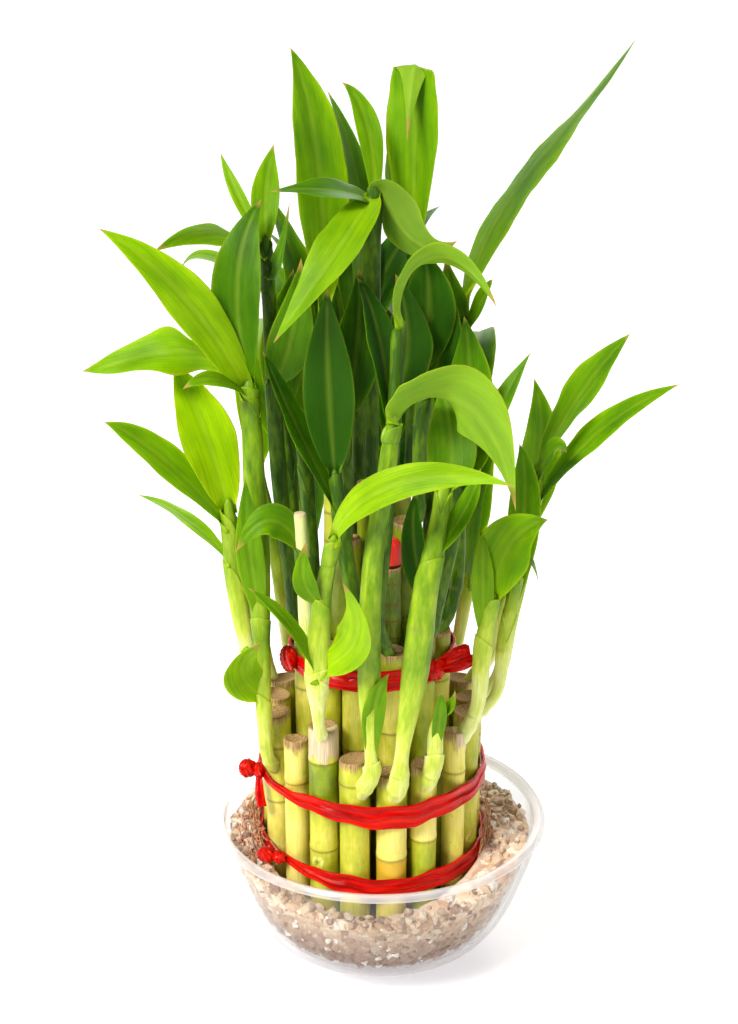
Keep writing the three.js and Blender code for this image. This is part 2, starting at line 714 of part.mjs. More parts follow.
// Turns to try, the smallest first
function turnsToTry() {
  const turns = [];
  for (let yaw = -YAW_LIMIT; yaw <= YAW_LIMIT; yaw += YAW_STEP) {
    for (let pitch = -PITCH_LIMIT; pitch <= PITCH_LIMIT; pitch += PITCH_STEP) turns.push([yaw, pitch]);
  }
  const size = ([yaw, pitch]) => Math.abs(yaw) + Math.abs(pitch);
  return turns.sort((a, b) => size(a) - size(b));
}

// Puts a blade where it clears the other canes' pieces, or nowhere if no turn does. Blades placed by rule
// stay within a set reach to either side, so that the bush is deepest at its back.
function settleBlade(cane, blade) {
  for (const [yaw, pitch] of turnsToTry()) {
    const turned = turnedBlade(blade, yaw, pitch);
    if (cane.ruled && Math.abs(turned.points.at(-1).x) > SIDE_REACH) continue;
    const samples = bladeSamples(turned);
    if (countClashes(samples, cane.name) === 0) {
      markCells(samples, cane.name);
      cane.blades.push(turned);
      return;
    }
  }
}

// All canes of the three tiers, with their node heights
function makeCanes() {
  const canes = [];
  const add = (tier, number, envelope, [degreesRound, radius, top]) => {
    const name = `cane_${tier}_${String(number).padStart(2, "0")}`;
    const centre = bundlePlace(degreesRound, envelope - radius, 0);
    const outward = outwardWay(degreesRound);
    const nodes = NODE_HEIGHTS[tier].map((z) => z + NODE_SHIFT * wobble(canes.length + z));
    const turn = radians(degreesRound - 90);
    canes.push({ name, tier, centre, outward, radius, top, nodes, turn, blades: [] });
  };
  OUTER_CANES.forEach((row, i) => add("outer", i + 1, OUTER_ENVELOPE, row));
  MIDDLE_CANES.forEach((row, i) => add("middle", i + 1, MIDDLE_ENVELOPE, row));
  INNER_CANES.forEach((row, i) => add("inner", i + 1, INNER_ENVELOPE, row));
  add("inner", 7, CENTRE_CANE[1], CENTRE_CANE);
  return canes;
}

// A shoot by rule: it leans outwards, and its blades arch to either side of the way out, away from the front
function ruledShoot(cane, number) {
  const [height, lean, count] = RULED_SHOOTS[cane.name];
  const { outward } = cane;
  const edge = cane.centre.clone().addScaledVector(outward, cane.radius + (cane.tier === "outer" ? 2.5 : 1));
  const path = [0.3, 0.65, 1].map((share) => {
    const point = edge.clone().addScaledVector(outward, lean * share ** 2);
    point.z = THREE.MathUtils.lerp(cane.top, height, share);
    return point.toArray();
  });
  const away = THREE.MathUtils.radToDeg(Math.atan2(outward.y, outward.x));
  const offBack = THREE.MathUtils.euclideanModulo(away - 90 + 180, 360) - 180;
  const blades = Array.from({ length: count }, (_, i) => {
    const seed = number * 10 + i;
    const heading = 90 + 0.35 * offBack + (i - (count - 1) / 2) * 44 + 10 * wobble(seed);
    const length = 58 + 30 * Math.abs(Math.sin(radians(heading))) + 8 * wobble(seed + 400);
    const rise = 66 + 8 * wobble(seed + 500);
    const fall = 18 + 24 * wobble(seed + 600);
    const way = new THREE.Vector3(Math.cos(radians(heading)), Math.sin(radians(heading)), 0);
    const place = 0.72 + 0.25 * (i / (count - 1));
    const steps = [rise, fall].map((slope) => {
      const step = way.clone().multiplyScalar(0.5 * length * Math.cos(radians(slope)));
      return step.setZ(0.5 * length * Math.sin(radians(slope)));
    });
    return [place, 16 + 2 * wobble(seed + 700), heading, 12 * wobble(seed + 800), steps];
  });
  return { path, girth: RULED_GIRTH, blades };
}

// Stem first for every cane, then the blades that show most, then the rest
function growShoots(canes) {
  canes.forEach((cane, number) => {
    const ruled = cane.name in RULED_SHOOTS;
    cane.shoot = ruled ? ruledShoot(cane, number + 1) : SHOOTS[cane.name];
    if (!cane.shoot) return;
    cane.ruled = ruled;
    cane.stem = stemPoints(cane, cane.shoot);
    markCells(surfaceSamples(stemRings(cane.stem, cane.shoot.girth), true), cane.name);
  });
  canes.forEach((cane) => {
    const low = caneRing(cane, CANE_FOOT, cane.radius, 0);
    const high = caneRing(cane, cane.top, cane.radius, 0);
    markCells(surfaceSamples([low, high], true), cane.name);
  });
  for (const ruled of [false, true]) {
    for (const cane of canes.filter((c) => c.shoot && c.ruled === ruled)) growBlades(cane);
  }
}

function growBlades(cane) {
  for (const [place, width, heading, turn, rest] of cane.shoot.blades) {
    const base = splinePoint(cane.stem, place);
    const points = [base];
    for (const p of rest) points.push(cane.ruled ? points.at(-1).clone().add(p) : new THREE.Vector3(...p));
    settleBlade(cane, { width, heading, turn, points });
  }
}

// A cane with its stem and blades as one body
function leafyCane(cane) {
  const pieces = [caneBody(cane)];
  if (cane.shoot) pieces.push(stemBody(cane.stem, cane.shoot.girth, cane.shoot.blunt));
  for (const blade of cane.blades) pieces.push(bladeBody(blade));
  return fuse(pieces);
}

// Middle height and width of a ribbon at degrees round, eased between its rows
function ribbonRow(rows, degreesRound) {
  const after = rows.findIndex(([degrees]) => degrees > degreesRound);
  const [low, ...before] = rows[after - 1];
  const share = THREE.MathUtils.smoothstep(degreesRound, low, rows[after][0]);
  return before.map((value, column) => THREE.MathUtils.lerp(value, rows[after][column + 1], share));
}

// Foil band pulled round a tier, with two lengthwise creases on its outer face
function ribbonBand(envelope, rows) {
  const section = [
    [0, 1],
    [1.2, 0.94],
    [0.8, 0.66],
    [1.7, 0.5],
    [0.9, 0.3],
    [1.3, 0],
    [0, 0.04],
  ];
  const rings = Array.from({ length: RIBBON_SEGMENTS }, (_, i) => {
    const degreesRound = (360 * i) / RIBBON_SEGMENTS - 180;
    const [middle, width] = ribbonRow(rows, degreesRound);
    return section.map(([out, rise]) =>
      bundlePlace(degreesRound, envelope + RIBBON_CLEARANCE + out, middle + width * (rise - 0.5)),
    );
  });
  return skin(rings, { looped: true });
}

// Rounded lump of knotted foil: half sizes across, outwards and up, turned to face out of the tier
function foilLump(envelope, degreesRound, out, z, sizes) {
  const lump = new THREE.SphereGeometry(1, 8, 5);
  lump.deleteAttribute("normal");
  lump.deleteAttribute("uv");
  lump.rotateX(Math.PI / 2);
  lump.scale(...sizes);
  lump.rotateZ(radians(degreesRound));
  lump.translate(...bundlePlace(degreesRound, envelope + out, z));
  return mergeVertices(lump, 1e-4);
}

// Foil tail or pressed loop
function foilTail(width, heading, turn, points) {
  return bladeBody({ width, heading, turn, points: points.map((p) => new THREE.Vector3(...p)) });
}

// Band low round the canes, half in the gravel, with a crumpled knot that lies on the gravel at the left
function ribbonFoot() {
  return fuse([
    ribbonBand(OUTER_ENVELOPE, FOOT_RIBBON),
    foilLump(OUTER_ENVELOPE, -50, 3.2, 45, [3.4, 2.6, 2.4]),
    foilLump(OUTER_ENVELOPE, -56, 5.6, 44.6, [4.2, 3.2, 3]),
  ]);
}

// Band half way up the outer canes, with its knot at the left, and a twisted end under it
function ribbonLower() {
  return fuse([
    ribbonBand(OUTER_ENVELOPE, LOWER_RIBBON),
    foilLump(OUTER_ENVELOPE, -72, 2.6, 73.4, [3.2, 2.4, 3.2]),
    foilLump(OUTER_ENVELOPE, -75, 6.6, 73.6, [3.4, 3.6, 3.8]),
    foilTail(4, 250, 0, [[-45.6, -15.2, 72], [-45.5, -18.5, 67], [-44.5, -21.5, 62]]),
  ]);
}

// Band round the middle canes, with a knot at the left and a folded flap at the right
function ribbonUpper() {
  return fuse([
    ribbonBand(MIDDLE_ENVELOPE, UPPER_RIBBON),
    foilLump(MIDDLE_ENVELOPE, -66, 3.8, 119.5, [5, 3, 5.2]),
    foilLump(MIDDLE_ENVELOPE, 46, 3, 119, [5, 2.2, 4.2]),
    foilTail(9, 0, 60, [[22.8, -21.8, 120], [28, -23, 123], [33, -22.5, 125]]),
  ]);
}

// Rounded cap of wax, seated just over the cut end of the thin cane
function waxCap(cane) {
  const low = cane.top + CUT_SLOPE + CLEARANCE;
  const radius = cane.radius + WAX_OVERHANG;
  const rings = [
    [0.98, 0],
    [1, 0.35],
    [0.88, 0.68],
    [0.55, 0.92],
  ].map(([share, rise]) => {
    const ring = levelRing(radius * share, low + WAX_LENGTH * rise, WAX_SIDES);
    return ring.map((p) => p.add(cane.centre));
  });
  const tip = cane.centre.clone().setZ(low + WAX_LENGTH);
  return skin(rings, { end: tip });
}

const GLASS = { color: 0xdfe6e4, roughness: 0.05, metalness: 0 };
const STONE = { color: 0xc9b8a4, roughness: 0.7, metalness: 0 };
const CANE = { color: 0xb6b84a, roughness: 0.45, metalness: 0 };
const FOIL = { color: 0xc81410, roughness: 0.25, metalness: 0 };
const WAX = { color: 0xb01210, roughness: 0.35, metalness: 0 };

const part = new THREE.Group();

function addMesh(name, geometry, look) {
  const mesh = new THREE.Mesh(geometry, new THREE.MeshStandardMaterial(look));
  mesh.name = name;
  part.add(mesh);
}

const canes = makeCanes();
growShoots(canes);
addMesh("bowl", bowl(), GLASS);
addMesh("gravel", gravel(), STONE);
for (const cane of canes) addMesh(cane.name, leafyCane(cane), CANE);
addMesh("ribbon_foot", ribbonFoot(), FOIL);
addMesh("ribbon_lower", ribbonLower(), FOIL);
addMesh("ribbon_upper", ribbonUpper(), FOIL);
addMesh("wax_cap", waxCap(canes.find((cane) => cane.name === "cane_inner_01")), WAX);

export default part;
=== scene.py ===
"""Lucky bamboo in its bowl: three tiers of cut canes tied with red foil, with leafy shoots, in gravel.

Tables are in millimetres and become metres where a mesh is made. +Z is up, and -Y is the front.
"""

import bpy
import numpy as np
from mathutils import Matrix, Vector


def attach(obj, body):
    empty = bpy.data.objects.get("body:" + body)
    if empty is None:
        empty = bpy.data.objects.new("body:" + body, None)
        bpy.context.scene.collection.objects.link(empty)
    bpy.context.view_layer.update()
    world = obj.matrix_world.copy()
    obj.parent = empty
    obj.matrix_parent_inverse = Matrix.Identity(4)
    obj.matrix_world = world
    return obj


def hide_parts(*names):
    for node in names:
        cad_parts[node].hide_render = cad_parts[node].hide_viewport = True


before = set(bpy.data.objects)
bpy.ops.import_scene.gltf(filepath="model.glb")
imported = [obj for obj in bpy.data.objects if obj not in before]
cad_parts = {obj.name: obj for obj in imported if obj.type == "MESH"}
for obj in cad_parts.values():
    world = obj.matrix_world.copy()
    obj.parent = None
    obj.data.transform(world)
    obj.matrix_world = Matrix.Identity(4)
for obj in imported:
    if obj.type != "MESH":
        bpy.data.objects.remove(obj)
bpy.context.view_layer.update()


# The bowl: one piece of clear moulded glass, slightly milky, with a thick flat bottom and a rolled lip. It
# stands on the floor and holds the gravel.
MILLIMETRE = 0.001

# Profiles of (radius, height): the outside from the bottom up, and the inside down
BOWL_OUTSIDE = [
    (38.4, 0), (39.6, 0.2), (44, 2.5), (49, 8), (53.5, 16), (58, 28), (61.5, 39), (62.6, 45.8), (64.9, 47.6),
    (63.6, 49.9),
]
BOWL_INSIDE = [
    (61.4, 49.2), (60.6, 47.6), (59.1, 39), (55.6, 28.2), (51.2, 16.6), (47, 9.2), (42.6, 4.6), (38.5, 2.8),
    (30, 2.4),
]
BOWL_AROUND = 160
STEPS_PER_SPAN = 8
GLASS_TINT = (0.985, 0.985, 0.98, 1)

# Heights in metres between which the milky bloom sets in at the lip and at the thick bottom
BLOOM_AT_LIP = (0.0460, 0.0474)
BLOOM_AT_FOOT = (0.0046, 0.0016)


def along_spline(points, share):
    """Smooth curve through the points at shares of its way from 0 to 1. Each span is a cubic whose end slopes
    are half of the difference between its neighbours, or the span's own difference at the ends of the
    curve."""
    points = np.asarray(points, float)
    share = np.clip(share, 0, 1)
    spans = len(points) - 1
    first = np.minimum((share * spans).astype(int), spans - 1)
    t = (share * spans - first)[..., None]
    slopes = np.gradient(points, axis=0)
    return (
        points[first] * (2 * t**3 - 3 * t**2 + 1)
        + slopes[first] * (t**3 - 2 * t**2 + t)
        + points[first + 1] * (3 * t**2 - 2 * t**3)
        + slopes[first + 1] * (t**3 - t**2)
    )


def full_turn(count):
    """Angles at even steps round a full turn, as one row."""
    return np.linspace(0, 2 * np.pi, count, endpoint=False)[None, :]


def round_points(radius, angle, height, shift=0.0):
    """Points at a radius and an angle round an upright axis that is shifted along +X, and at a height."""
    return np.stack(np.broadcast_arrays(radius * np.cos(angle) + shift, radius * np.sin(angle), height), -1)


def turned_rings(profile, around):
    """Rings of points: each (radius, height) of the profile turned round the upright axis."""
    radius, height = (column[:, None] for column in np.asarray(profile, float).T)
    return round_points(radius, full_turn(around), height)


def closed_part(rings, looped=False, tip=None, finish=0, **traits):
    """Closed skin over rings of points that run anticlockwise, seen from the last ring. Quads join
    neighbouring rings. Triangles close each end ring to its mean point, or to the tip, unless the last ring
    joins the first. Traits are values for each point: numbers, or vectors of three."""
    rings = np.asarray(rings, float)
    count, around = rings.shape[:2]
    band = np.arange(count if looped else count - 1)[:, None]
    here = np.arange(around)
    after = (here + 1) % around
    near, far = band * around, (band + 1) % count * around
    quads = np.stack([near + here, near + after, far + after, far + here], -1).reshape(-1, 4)
    triangles = np.empty((0, 3), int)
    points = rings.reshape(-1, 3)
    if not looped:
        low, high = count * around, count * around + 1
        top = (count - 1) * around
        triangles = np.vstack([
            np.stack([np.full(around, low), after, here], -1),
            np.stack([np.full(around, high), top + here, top + after], -1),
        ])
        points = np.vstack([points, rings[0].mean(0), rings[-1].mean(0) if tip is None else tip])
    values = {}
    for name, value in traits.items():
        width = (3,) if name == "grain" else ()
        value = np.broadcast_to(value, (count, around) + width).astype(float)
        flat = value.reshape((-1,) + width)
        ends = [] if looped else [value[0].mean(0)[None], value[-1].mean(0)[None]]
        values[name] = np.concatenate([flat, *ends])
    return {"points": points, "faces": [quads, triangles], "finish": finish, "traits": values}


def make_piece(name, parts, finishes, nodes=(), smooth=True):
    """Joins the parts into one object that sits at the origin, with its place in its mesh. It rides on the
    root body, and stands for the named CAD nodes."""
    mesh = bpy.data.meshes.new(name)
    starts = np.cumsum([0] + [len(part["points"]) for part in parts])
    corners, sizes, numbers = [], [], []
    for part, start in zip(parts, starts):
        for faces in part["faces"]:
            corners.append(faces.ravel() + start)
            sizes.append(np.full(len(faces), faces.shape[1]))
            numbers.append(np.full(len(faces), part["finish"]))
    corners, sizes, numbers = (np.concatenate(rows) for rows in (corners, sizes, numbers))
    mesh.vertices.add(starts[-1])
    mesh.vertices.foreach_set("co", np.vstack([part["points"] for part in parts]).ravel() * MILLIMETRE)
    mesh.loops.add(len(corners))
    mesh.loops.foreach_set("vertex_index", corners.astype(np.int32))
    mesh.polygons.add(len(sizes))
    mesh.polygons.foreach_set("loop_start", (np.cumsum(sizes) - sizes).astype(np.int32))
    mesh.polygons.foreach_set("material_index", numbers.astype(np.int32))
    mesh.polygons.foreach_set("use_smooth", np.full(len(sizes), smooth))
    for trait in sorted({name for part in parts for name in part["traits"]}):
        vector = trait == "grain"
        blank = (3,) if vector else ()
        values = [part["traits"].get(trait, np.zeros((len(part["points"]),) + blank)) for part in parts]
        attribute = mesh.attributes.new(trait, "FLOAT_VECTOR" if vector else "FLOAT", "POINT")
        attribute.data.foreach_set("vector" if vector else "value", np.concatenate(values).ravel())
    mesh.update(calc_edges=True)
    mesh.validate()
    for finish in finishes:
        mesh.materials.append(finish)
    piece = bpy.data.objects.new(name, mesh)
    bpy.context.scene.collection.objects.link(piece)
    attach(piece, "root")
    if nodes:
        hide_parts(*nodes)
    return piece


def new_finish(name, sockets):
    """Node material with one Principled shader, whose own sockets are set to the given values."""
    material = bpy.data.materials.new(name)
    material.use_nodes = True
    for socket, value in sockets.items():
        material.node_tree.nodes["Principled BSDF"].inputs[socket].default_value = value
    return material


def add_node(material, kind, inputs, **settings):
    """Shader node of a kind. Inputs gives sockets, by name or number, a value or the output that feeds
    them."""
    node = material.node_tree.nodes.new("ShaderNode" + kind)
    for setting, value in settings.items():
        setattr(node, setting, value)
    for socket, value in inputs.items():
        if isinstance(value, bpy.types.NodeSocket):
            material.node_tree.links.new(value, node.inputs[socket])
        else:
            node.inputs[socket].default_value = value
    return node


def feed(material, **links):
    """Feeds outputs into the Principled shader's sockets, named with _ for each space."""
    shader = material.node_tree.nodes["Principled BSDF"]
    for socket, output in links.items():
        material.node_tree.links.new(output, shader.inputs[socket.replace("_", " ")])


def object_place(material):
    """Coordinates of the piece itself, in metres."""
    return add_node(material, "TexCoord", {}).outputs["Object"]


def added(material, first, second, **settings):
    """The sum of two values, or what another setting of the node makes of them."""
    return add_node(material, "Math", {0: first, 1: second}, **settings).outputs[0]


def trait_of(material, name):
    """Attribute of the piece's own points, as a number, or as a vector for the grain."""
    node = add_node(material, "Attribute", {}, attribute_name=name)
    return node.outputs["Vector" if name == "grain" else "Fac"]


def speckle(material, where, stretch, scale, detail=3.0, roughness=0.6):
    """Noise in a space that is stretched along the three directions, from 0 to 1."""
    placed = add_node(material, "Mapping", {"Vector": where, "Scale": stretch})
    noise = add_node(
        material, "TexNoise",
        {"Vector": placed.outputs["Vector"], "Scale": scale, "Detail": detail, "Roughness": roughness},
    )
    return noise.outputs["Fac"]


def spread(material, value, low, high, least=0.0, most=1.0):
    """The value carried from the range low to high on to the range least to most, and held inside it."""
    node = add_node(
        material, "MapRange",
        {"Value": value, "From Min": low, "From Max": high, "To Min": least, "To Max": most}, clamp=True,
    )
    return node.outputs["Result"]


def blend(material, share, low, high):
    """Colour between two colours by a share from 0 to 1."""
    node = add_node(material, "Mix", {0: share, 6: low, 7: high}, data_type="RGBA")
    return node.outputs[2]


def layered(material, colour, *layers):
    """Colour built up in layers. Each is (value, low, high, cover, its colour), and covers what lies under it
    by the value, carried from the range low to high on to 0 to the cover."""
    for value, low, high, cover, upper in layers:
        colour = blend(material, spread(material, value, low, high, 0, cover), colour, upper)
    return colour


def colour_steps(material, share, steps):
    """Colour read off a row of (share, colour) steps, blended between them."""
    ramp = add_node(material, "ValToRGB", {"Fac": share})
    elements = ramp.color_ramp.elements
    while len(elements) < len(steps):
        elements.new(0.5)
    for element, (position, colour) in zip(elements, steps):
        element.position = position
        element.color = colour
    return ramp.outputs["Color"]


def relief(material, height, distance, strength=1.0):
    """Bumps from a height: their greatest depth is the distance, in metres."""
    node = add_node(material, "Bump", {"Height": height, "Distance": distance, "Strength": strength})
    return node.outputs["Normal"]


def clear_glass():
    """Clear glass under a thin milky bloom. The bloom thickens where the wall is seen on edge, in patches of
    water marks, in the rolled lip and in the thick bottom, and has a hard shine; the rest lets what is behind
    show through. Where the wall is seen on edge the bloom is also painted grey: painted shade that stands in
    for the darker surroundings seen through the glass."""
    glass = new_finish("clear_glass", {"IOR": 1.45, "Specular IOR Level": 0.8, "Roughness": 0.12})
    place = object_place(glass)
    marks = speckle(glass, place, (1, 1, 0.35), 90.0, 5.0)
    waves = speckle(glass, place, (1, 1, 3), 45.0, 1.0)
    edge = add_node(glass, "LayerWeight", {"Blend": 0.5}).outputs["Facing"]
    # The grey steps towards the edge are painted shade for darker surroundings seen through the glass.
    bloom = colour_steps(glass, edge, [
        (0.0, (0.90, 0.86, 0.83, 1)), (0.5, (0.80, 0.74, 0.70, 1)), (0.85, (0.50, 0.46, 0.43, 1)),
        (1.0, (0.64, 0.61, 0.59, 1)),
    ])
    height = add_node(glass, "SeparateXYZ", {0: place}).outputs["Z"]
    lip = spread(glass, height, *BLOOM_AT_LIP)
    foot = spread(glass, height, *BLOOM_AT_FOOT)
    lipped = blend(glass, lip, bloom, (0.84, 0.77, 0.75, 1))
    footed = blend(glass, foot, lipped, (0.80, 0.77, 0.86, 1))
    feed(glass, Base_Color=footed, Normal=relief(glass, waves, 0.00012, 0.4))
    seen = added(glass, spread(glass, edge, 0.64, 0.98, 0.04, 0.7), spread(glass, marks, 0.5, 0.75, 0, 0.05))
    solid = added(glass, spread(glass, lip, 0, 1, 0, 0.40), spread(glass, foot, 0, 1, 0, 0.30))
    share = added(glass, seen, solid, use_clamp=True)
    nodes = glass.node_tree.nodes
    through = add_node(glass, "BsdfTransparent", {"Color": GLASS_TINT})
    mixed = add_node(glass, "MixShader", {
        0: share, 1: through.outputs["BSDF"], 2: nodes["Principled BSDF"].outputs["BSDF"],
    })
    glass.node_tree.links.new(mixed.outputs["Shader"], nodes["Material Output"].inputs["Surface"])
    return glass


bowl_profile = np.vstack([
    along_spline(points, np.linspace(0, 1, (len(points) - 1) * STEPS_PER_SPAN + 1))
    for points in (BOWL_OUTSIDE, BOWL_INSIDE)
])
bowl_wall = closed_part(turned_rings(bowl_profile, BOWL_AROUND))
make_piece("clear_bowl", [bowl_wall], [clear_glass()], ["bowl"])


# The gravel: broken quartz, white and cream with some pink and grey-brown grains, up to a few millimetres
# under the bowl's lip and lower at the front. The bed is one bumpy body. The tied canes stand in its hole,
# which is wider at its mouth, for the foil round their feet.
CLEARANCE = 0.3
GRAVEL_TOP = 42.5
FRONT_DIP = 13
GRAVEL_LIFT = 0.9
RECESS_RADIUS = 43.4
RECESS_MOUTH = 45.4
RECESS_LEDGE = 34.6
LEDGE_UNDER_TOP = 2.2
RECESS_BEVEL = 0.8
RECESS_FLOOR = 16
BUNDLE_X = -2.9
BED_INSET = 1.3
EDGE_INSET = 1.3
BED_AROUND = 300
BED_SIDE_ROWS = 46
BED_CROWN_ROWS = 15
BED_STONES = 900
STONE_PROUD = 1.1
STONE_EDGE = 2.2
CREASE_DEPTH = 0.5
TONE_STEP = 0.618
QUARTZ = [
    (0.00, (0.62, 0.42, 0.26, 1)), (0.20, (0.78, 0.58, 0.39, 1)), (0.42, (0.90, 0.78, 0.60, 1)),
    (0.58, (0.56, 0.33, 0.21, 1)), (0.72, (0.76, 0.54, 0.36, 1)), (0.86, (0.34, 0.20, 0.13, 1)),
    (0.95, (0.56, 0.40, 0.30, 1)), (1.00, (0.20, 0.11, 0.07, 1)),
]
random = np.random.default_rng(11)


def bed_top(angle):
    """Height of the bed's top: level, less a dip that grows with the square of the sine towards the front."""
    return GRAVEL_TOP - FRONT_DIP * np.maximum(0, -np.sin(angle)) ** 2


def inside_radius(height):
    """Radius of the bowl's inside at heights."""
    radii, heights = np.array(BOWL_INSIDE[::-1]).T
    return np.interp(height, heights, radii)


def bed_place(angle, share):
    """Radius and sideways shift on the bed's top: from the mouth of the hole at share 0 to the glass at 1."""
    edge = inside_radius(bed_top(angle)) - EDGE_INSET
    return RECESS_MOUTH + (edge - RECESS_MOUTH) * share, BUNDLE_X * (1 - share)


def bed_rings():
    """The bed as rings: its side follows the inside of the bowl, its top dips at the front, and its hole is
    plain. Stones stand proud of it by the square root of how far a point is from the border between its two
    nearest stones."""
    angle = full_turn(BED_AROUND)
    top = bed_top(angle)
    low = BOWL_INSIDE[-2][1]
    side = low + (top - low) * np.linspace(0, 0.93, BED_SIDE_ROWS)[:, None]
    share = np.linspace(1, 0.06, BED_CROWN_ROWS)[:, None]
    crown, crown_shift = bed_place(angle, share)
    ledge = np.minimum(RECESS_LEDGE, top - LEDGE_UNDER_TOP)
    hole = [
        (RECESS_MOUTH, top - RECESS_BEVEL), (RECESS_MOUTH, ledge), (RECESS_RADIUS, ledge - RECESS_BEVEL),
        (RECESS_RADIUS, RECESS_FLOOR),
    ]
    rings = np.vstack([
        round_points(inside_radius(side) - BED_INSET, angle, side + GRAVEL_LIFT),
        round_points(crown, angle, top - 0.6 * share**8, crown_shift),
        *[round_points(radius, angle, height, BUNDLE_X) for radius, height in hole],
    ])
    bumpy = rings[: BED_SIDE_ROWS + BED_CROWN_ROWS]
    normal = np.cross(np.roll(bumpy, -1, 1) - np.roll(bumpy, 1, 1), np.gradient(bumpy, axis=0))
    area = np.linalg.norm(normal, axis=-1)
    places = bumpy.reshape(-1, 3)
    stones = places[random.choice(len(places), BED_STONES, p=area.ravel() / area.sum(), replace=False)]
    squares = (places**2).sum(1)[:, None] + (stones**2).sum(1) - 2 * places @ stones.T
    nearest = squares.argmin(1).reshape(bumpy.shape[:2])
    two = np.sqrt(np.maximum(np.partition(squares, 1, axis=1)[:, :2], 0))
    border = (two.max(1) - two.min(1)).reshape(bumpy.shape[:2])
    proud = STONE_PROUD * np.sqrt(np.clip(border / STONE_EDGE, 0, 1)) - CREASE_DEPTH
    bumpy += normal / area[..., None] * proud[..., None]
    chip = np.zeros(rings.shape[:2])
    chip[: len(bumpy)] = nearest * TONE_STEP % 1
    return rings, chip


def broken_quartz():
    """Broken quartz: each stone has its own tone, with cloudy patches and dusty creases. The stones are
    lighter at the top of the bed, and darker and browner towards the bottom of the bowl."""
    quartz = new_finish("broken_quartz", {"Specular IOR Level": 0.35, "IOR": 1.54})
    place = object_place(quartz)
    cloud = speckle(quartz, place, (1, 1, 1), 420.0, 4.0)
    grit = speckle(quartz, place, (1, 1, 1), 1900.0, 3.0)
    tone = colour_steps(quartz, trait_of(quartz, "chip"), QUARTZ)
    dusty = layered(
        quartz, tone,
        (cloud, 0.5, 0.72, 0.4, (0.92, 0.83, 0.70, 1)), (grit, 0.55, 0.72, 0.6, (0.34, 0.22, 0.16, 1)),
    )
    height = add_node(quartz, "SeparateXYZ", {0: place}).outputs["Z"]
    # Darker and browner towards the bottom of the bowl.
    darker_towards_bottom = blend(quartz, spread(quartz, height, 0.013, 0.034, 0.88, 0.05), dusty, (0.20, 0.11, 0.08, 1))
    feed(
        quartz, Base_Color=darker_towards_bottom, Roughness=spread(quartz, cloud, 0.3, 0.7, 0.28, 0.65),
        Normal=relief(quartz, grit, 0.00025, 0.7),
    )
    return quartz


quartz_finish = broken_quartz()
bed, bed_chip = bed_rings()
make_piece("gravel_bed", [closed_part(bed, chip=bed_chip)], [quartz_finish], ["gravel"])


# Loose chips of the same quartz, which lie half sunk in the bed: round its side, where they show through the
# glass, and over its top. Some are clear crystals. Each is a small solid with twenty broken faces.
SIDE_CHIPS = 1500
TOP_CHIPS = 620
CHIP_SIZE = (1.1, 3.4)
CHIP_PROUD = (-0.5, 1.2)
CHIP_FOOT = 5.2
CHIP_DEPTH = 2.2
GLASS_GAP = 0.35
CHIP_REACH = 45.7
CLEAR_SHARE = 0.12
GOLDEN = (1 + 5**0.5) / 2
ICOSAHEDRON = np.array([
    (-1, GOLDEN, 0), (1, GOLDEN, 0), (-1, -GOLDEN, 0), (1, -GOLDEN, 0), (0, -1, GOLDEN), (0, 1, GOLDEN),
    (0, -1, -GOLDEN), (0, 1, -GOLDEN), (GOLDEN, 0, -1), (GOLDEN, 0, 1), (-GOLDEN, 0, -1), (-GOLDEN, 0, 1),
]) / np.hypot(1, GOLDEN)
ICOSAHEDRON_FACES = np.array([
    (0, 11, 5), (0, 5, 1), (0, 1, 7), (0, 7, 10), (0, 10, 11), (1, 5, 9), (5, 11, 4), (11, 10, 2), (10, 7, 6),
    (7, 1, 8), (3, 9, 4), (3, 4, 2), (3, 2, 6), (3, 6, 8), (3, 8, 9), (4, 9, 5), (2, 4, 11), (6, 2, 10),
    (8, 6, 7), (9, 8, 1),
])


def random_turns(count):
    """Rotation matrices drawn evenly, from random unit quaternions."""
    w, x, y, z = random.normal(size=(4, count))
    length = np.sqrt(w * w + x * x + y * y + z * z)
    w, x, y, z = w / length, x / length, y / length, z / length
    return np.stack([
        np.stack([1 - 2 * (y * y + z * z), 2 * (x * y - z * w), 2 * (x * z + y * w)], -1),
        np.stack([2 * (x * y + z * w), 1 - 2 * (x * x + z * z), 2 * (y * z - x * w)], -1),
        np.stack([2 * (x * z - y * w), 2 * (y * z + x * w), 1 - 2 * (x * x + y * y)], -1),
    ], 1)


def scattered_chips():
    """Corners of all chips, chips x 12 x 3: icosahedra with random corners, squashed, sized and turned at
    random, and pushed inwards off the glass and outwards off the bundle."""
    count = SIDE_CHIPS + TOP_CHIPS
    angle = random.uniform(0, 2 * np.pi, count)
    top = bed_top(angle)
    height = top + random.uniform(*CHIP_PROUD, count)
    radius, shift = bed_place(angle, np.sqrt(random.uniform(0.02, 1, count)))
    side = slice(SIDE_CHIPS)
    height[side] = CHIP_FOOT + (top[side] - CHIP_FOOT + 0.4) * random.uniform(0, 1, SIDE_CHIPS)
    radius[side] = inside_radius(height[side]) - CHIP_DEPTH
    shift[side] = 0
    shape = ICOSAHEDRON * random.uniform(0.72, 1.2, (count, 12, 1)) * random.uniform(0.55, 1.0, (count, 1, 3))
    small, large = CHIP_SIZE
    shape = shape * (small + (large - small) * random.uniform(0, 1, (count, 1, 1)) ** 2.2)
    shape = np.einsum("nij,nkj->nki", random_turns(count), shape)
    corners = shape + round_points(radius, angle, height, shift)[:, None]
    too_near = (CHIP_REACH - np.hypot(corners[..., 0] - BUNDLE_X, corners[..., 1])).max(1)
    push = np.maximum(too_near, 0) * (height > RECESS_FLOOR)
    beyond = np.hypot(corners[..., 0], corners[..., 1]) - inside_radius(corners[..., 2]) + GLASS_GAP
    push = push - np.maximum(beyond.max(1) + push, 0)
    corners[..., 0] += (push * np.cos(angle))[:, None]
    corners[..., 1] += (push * np.sin(angle))[:, None]
    return corners


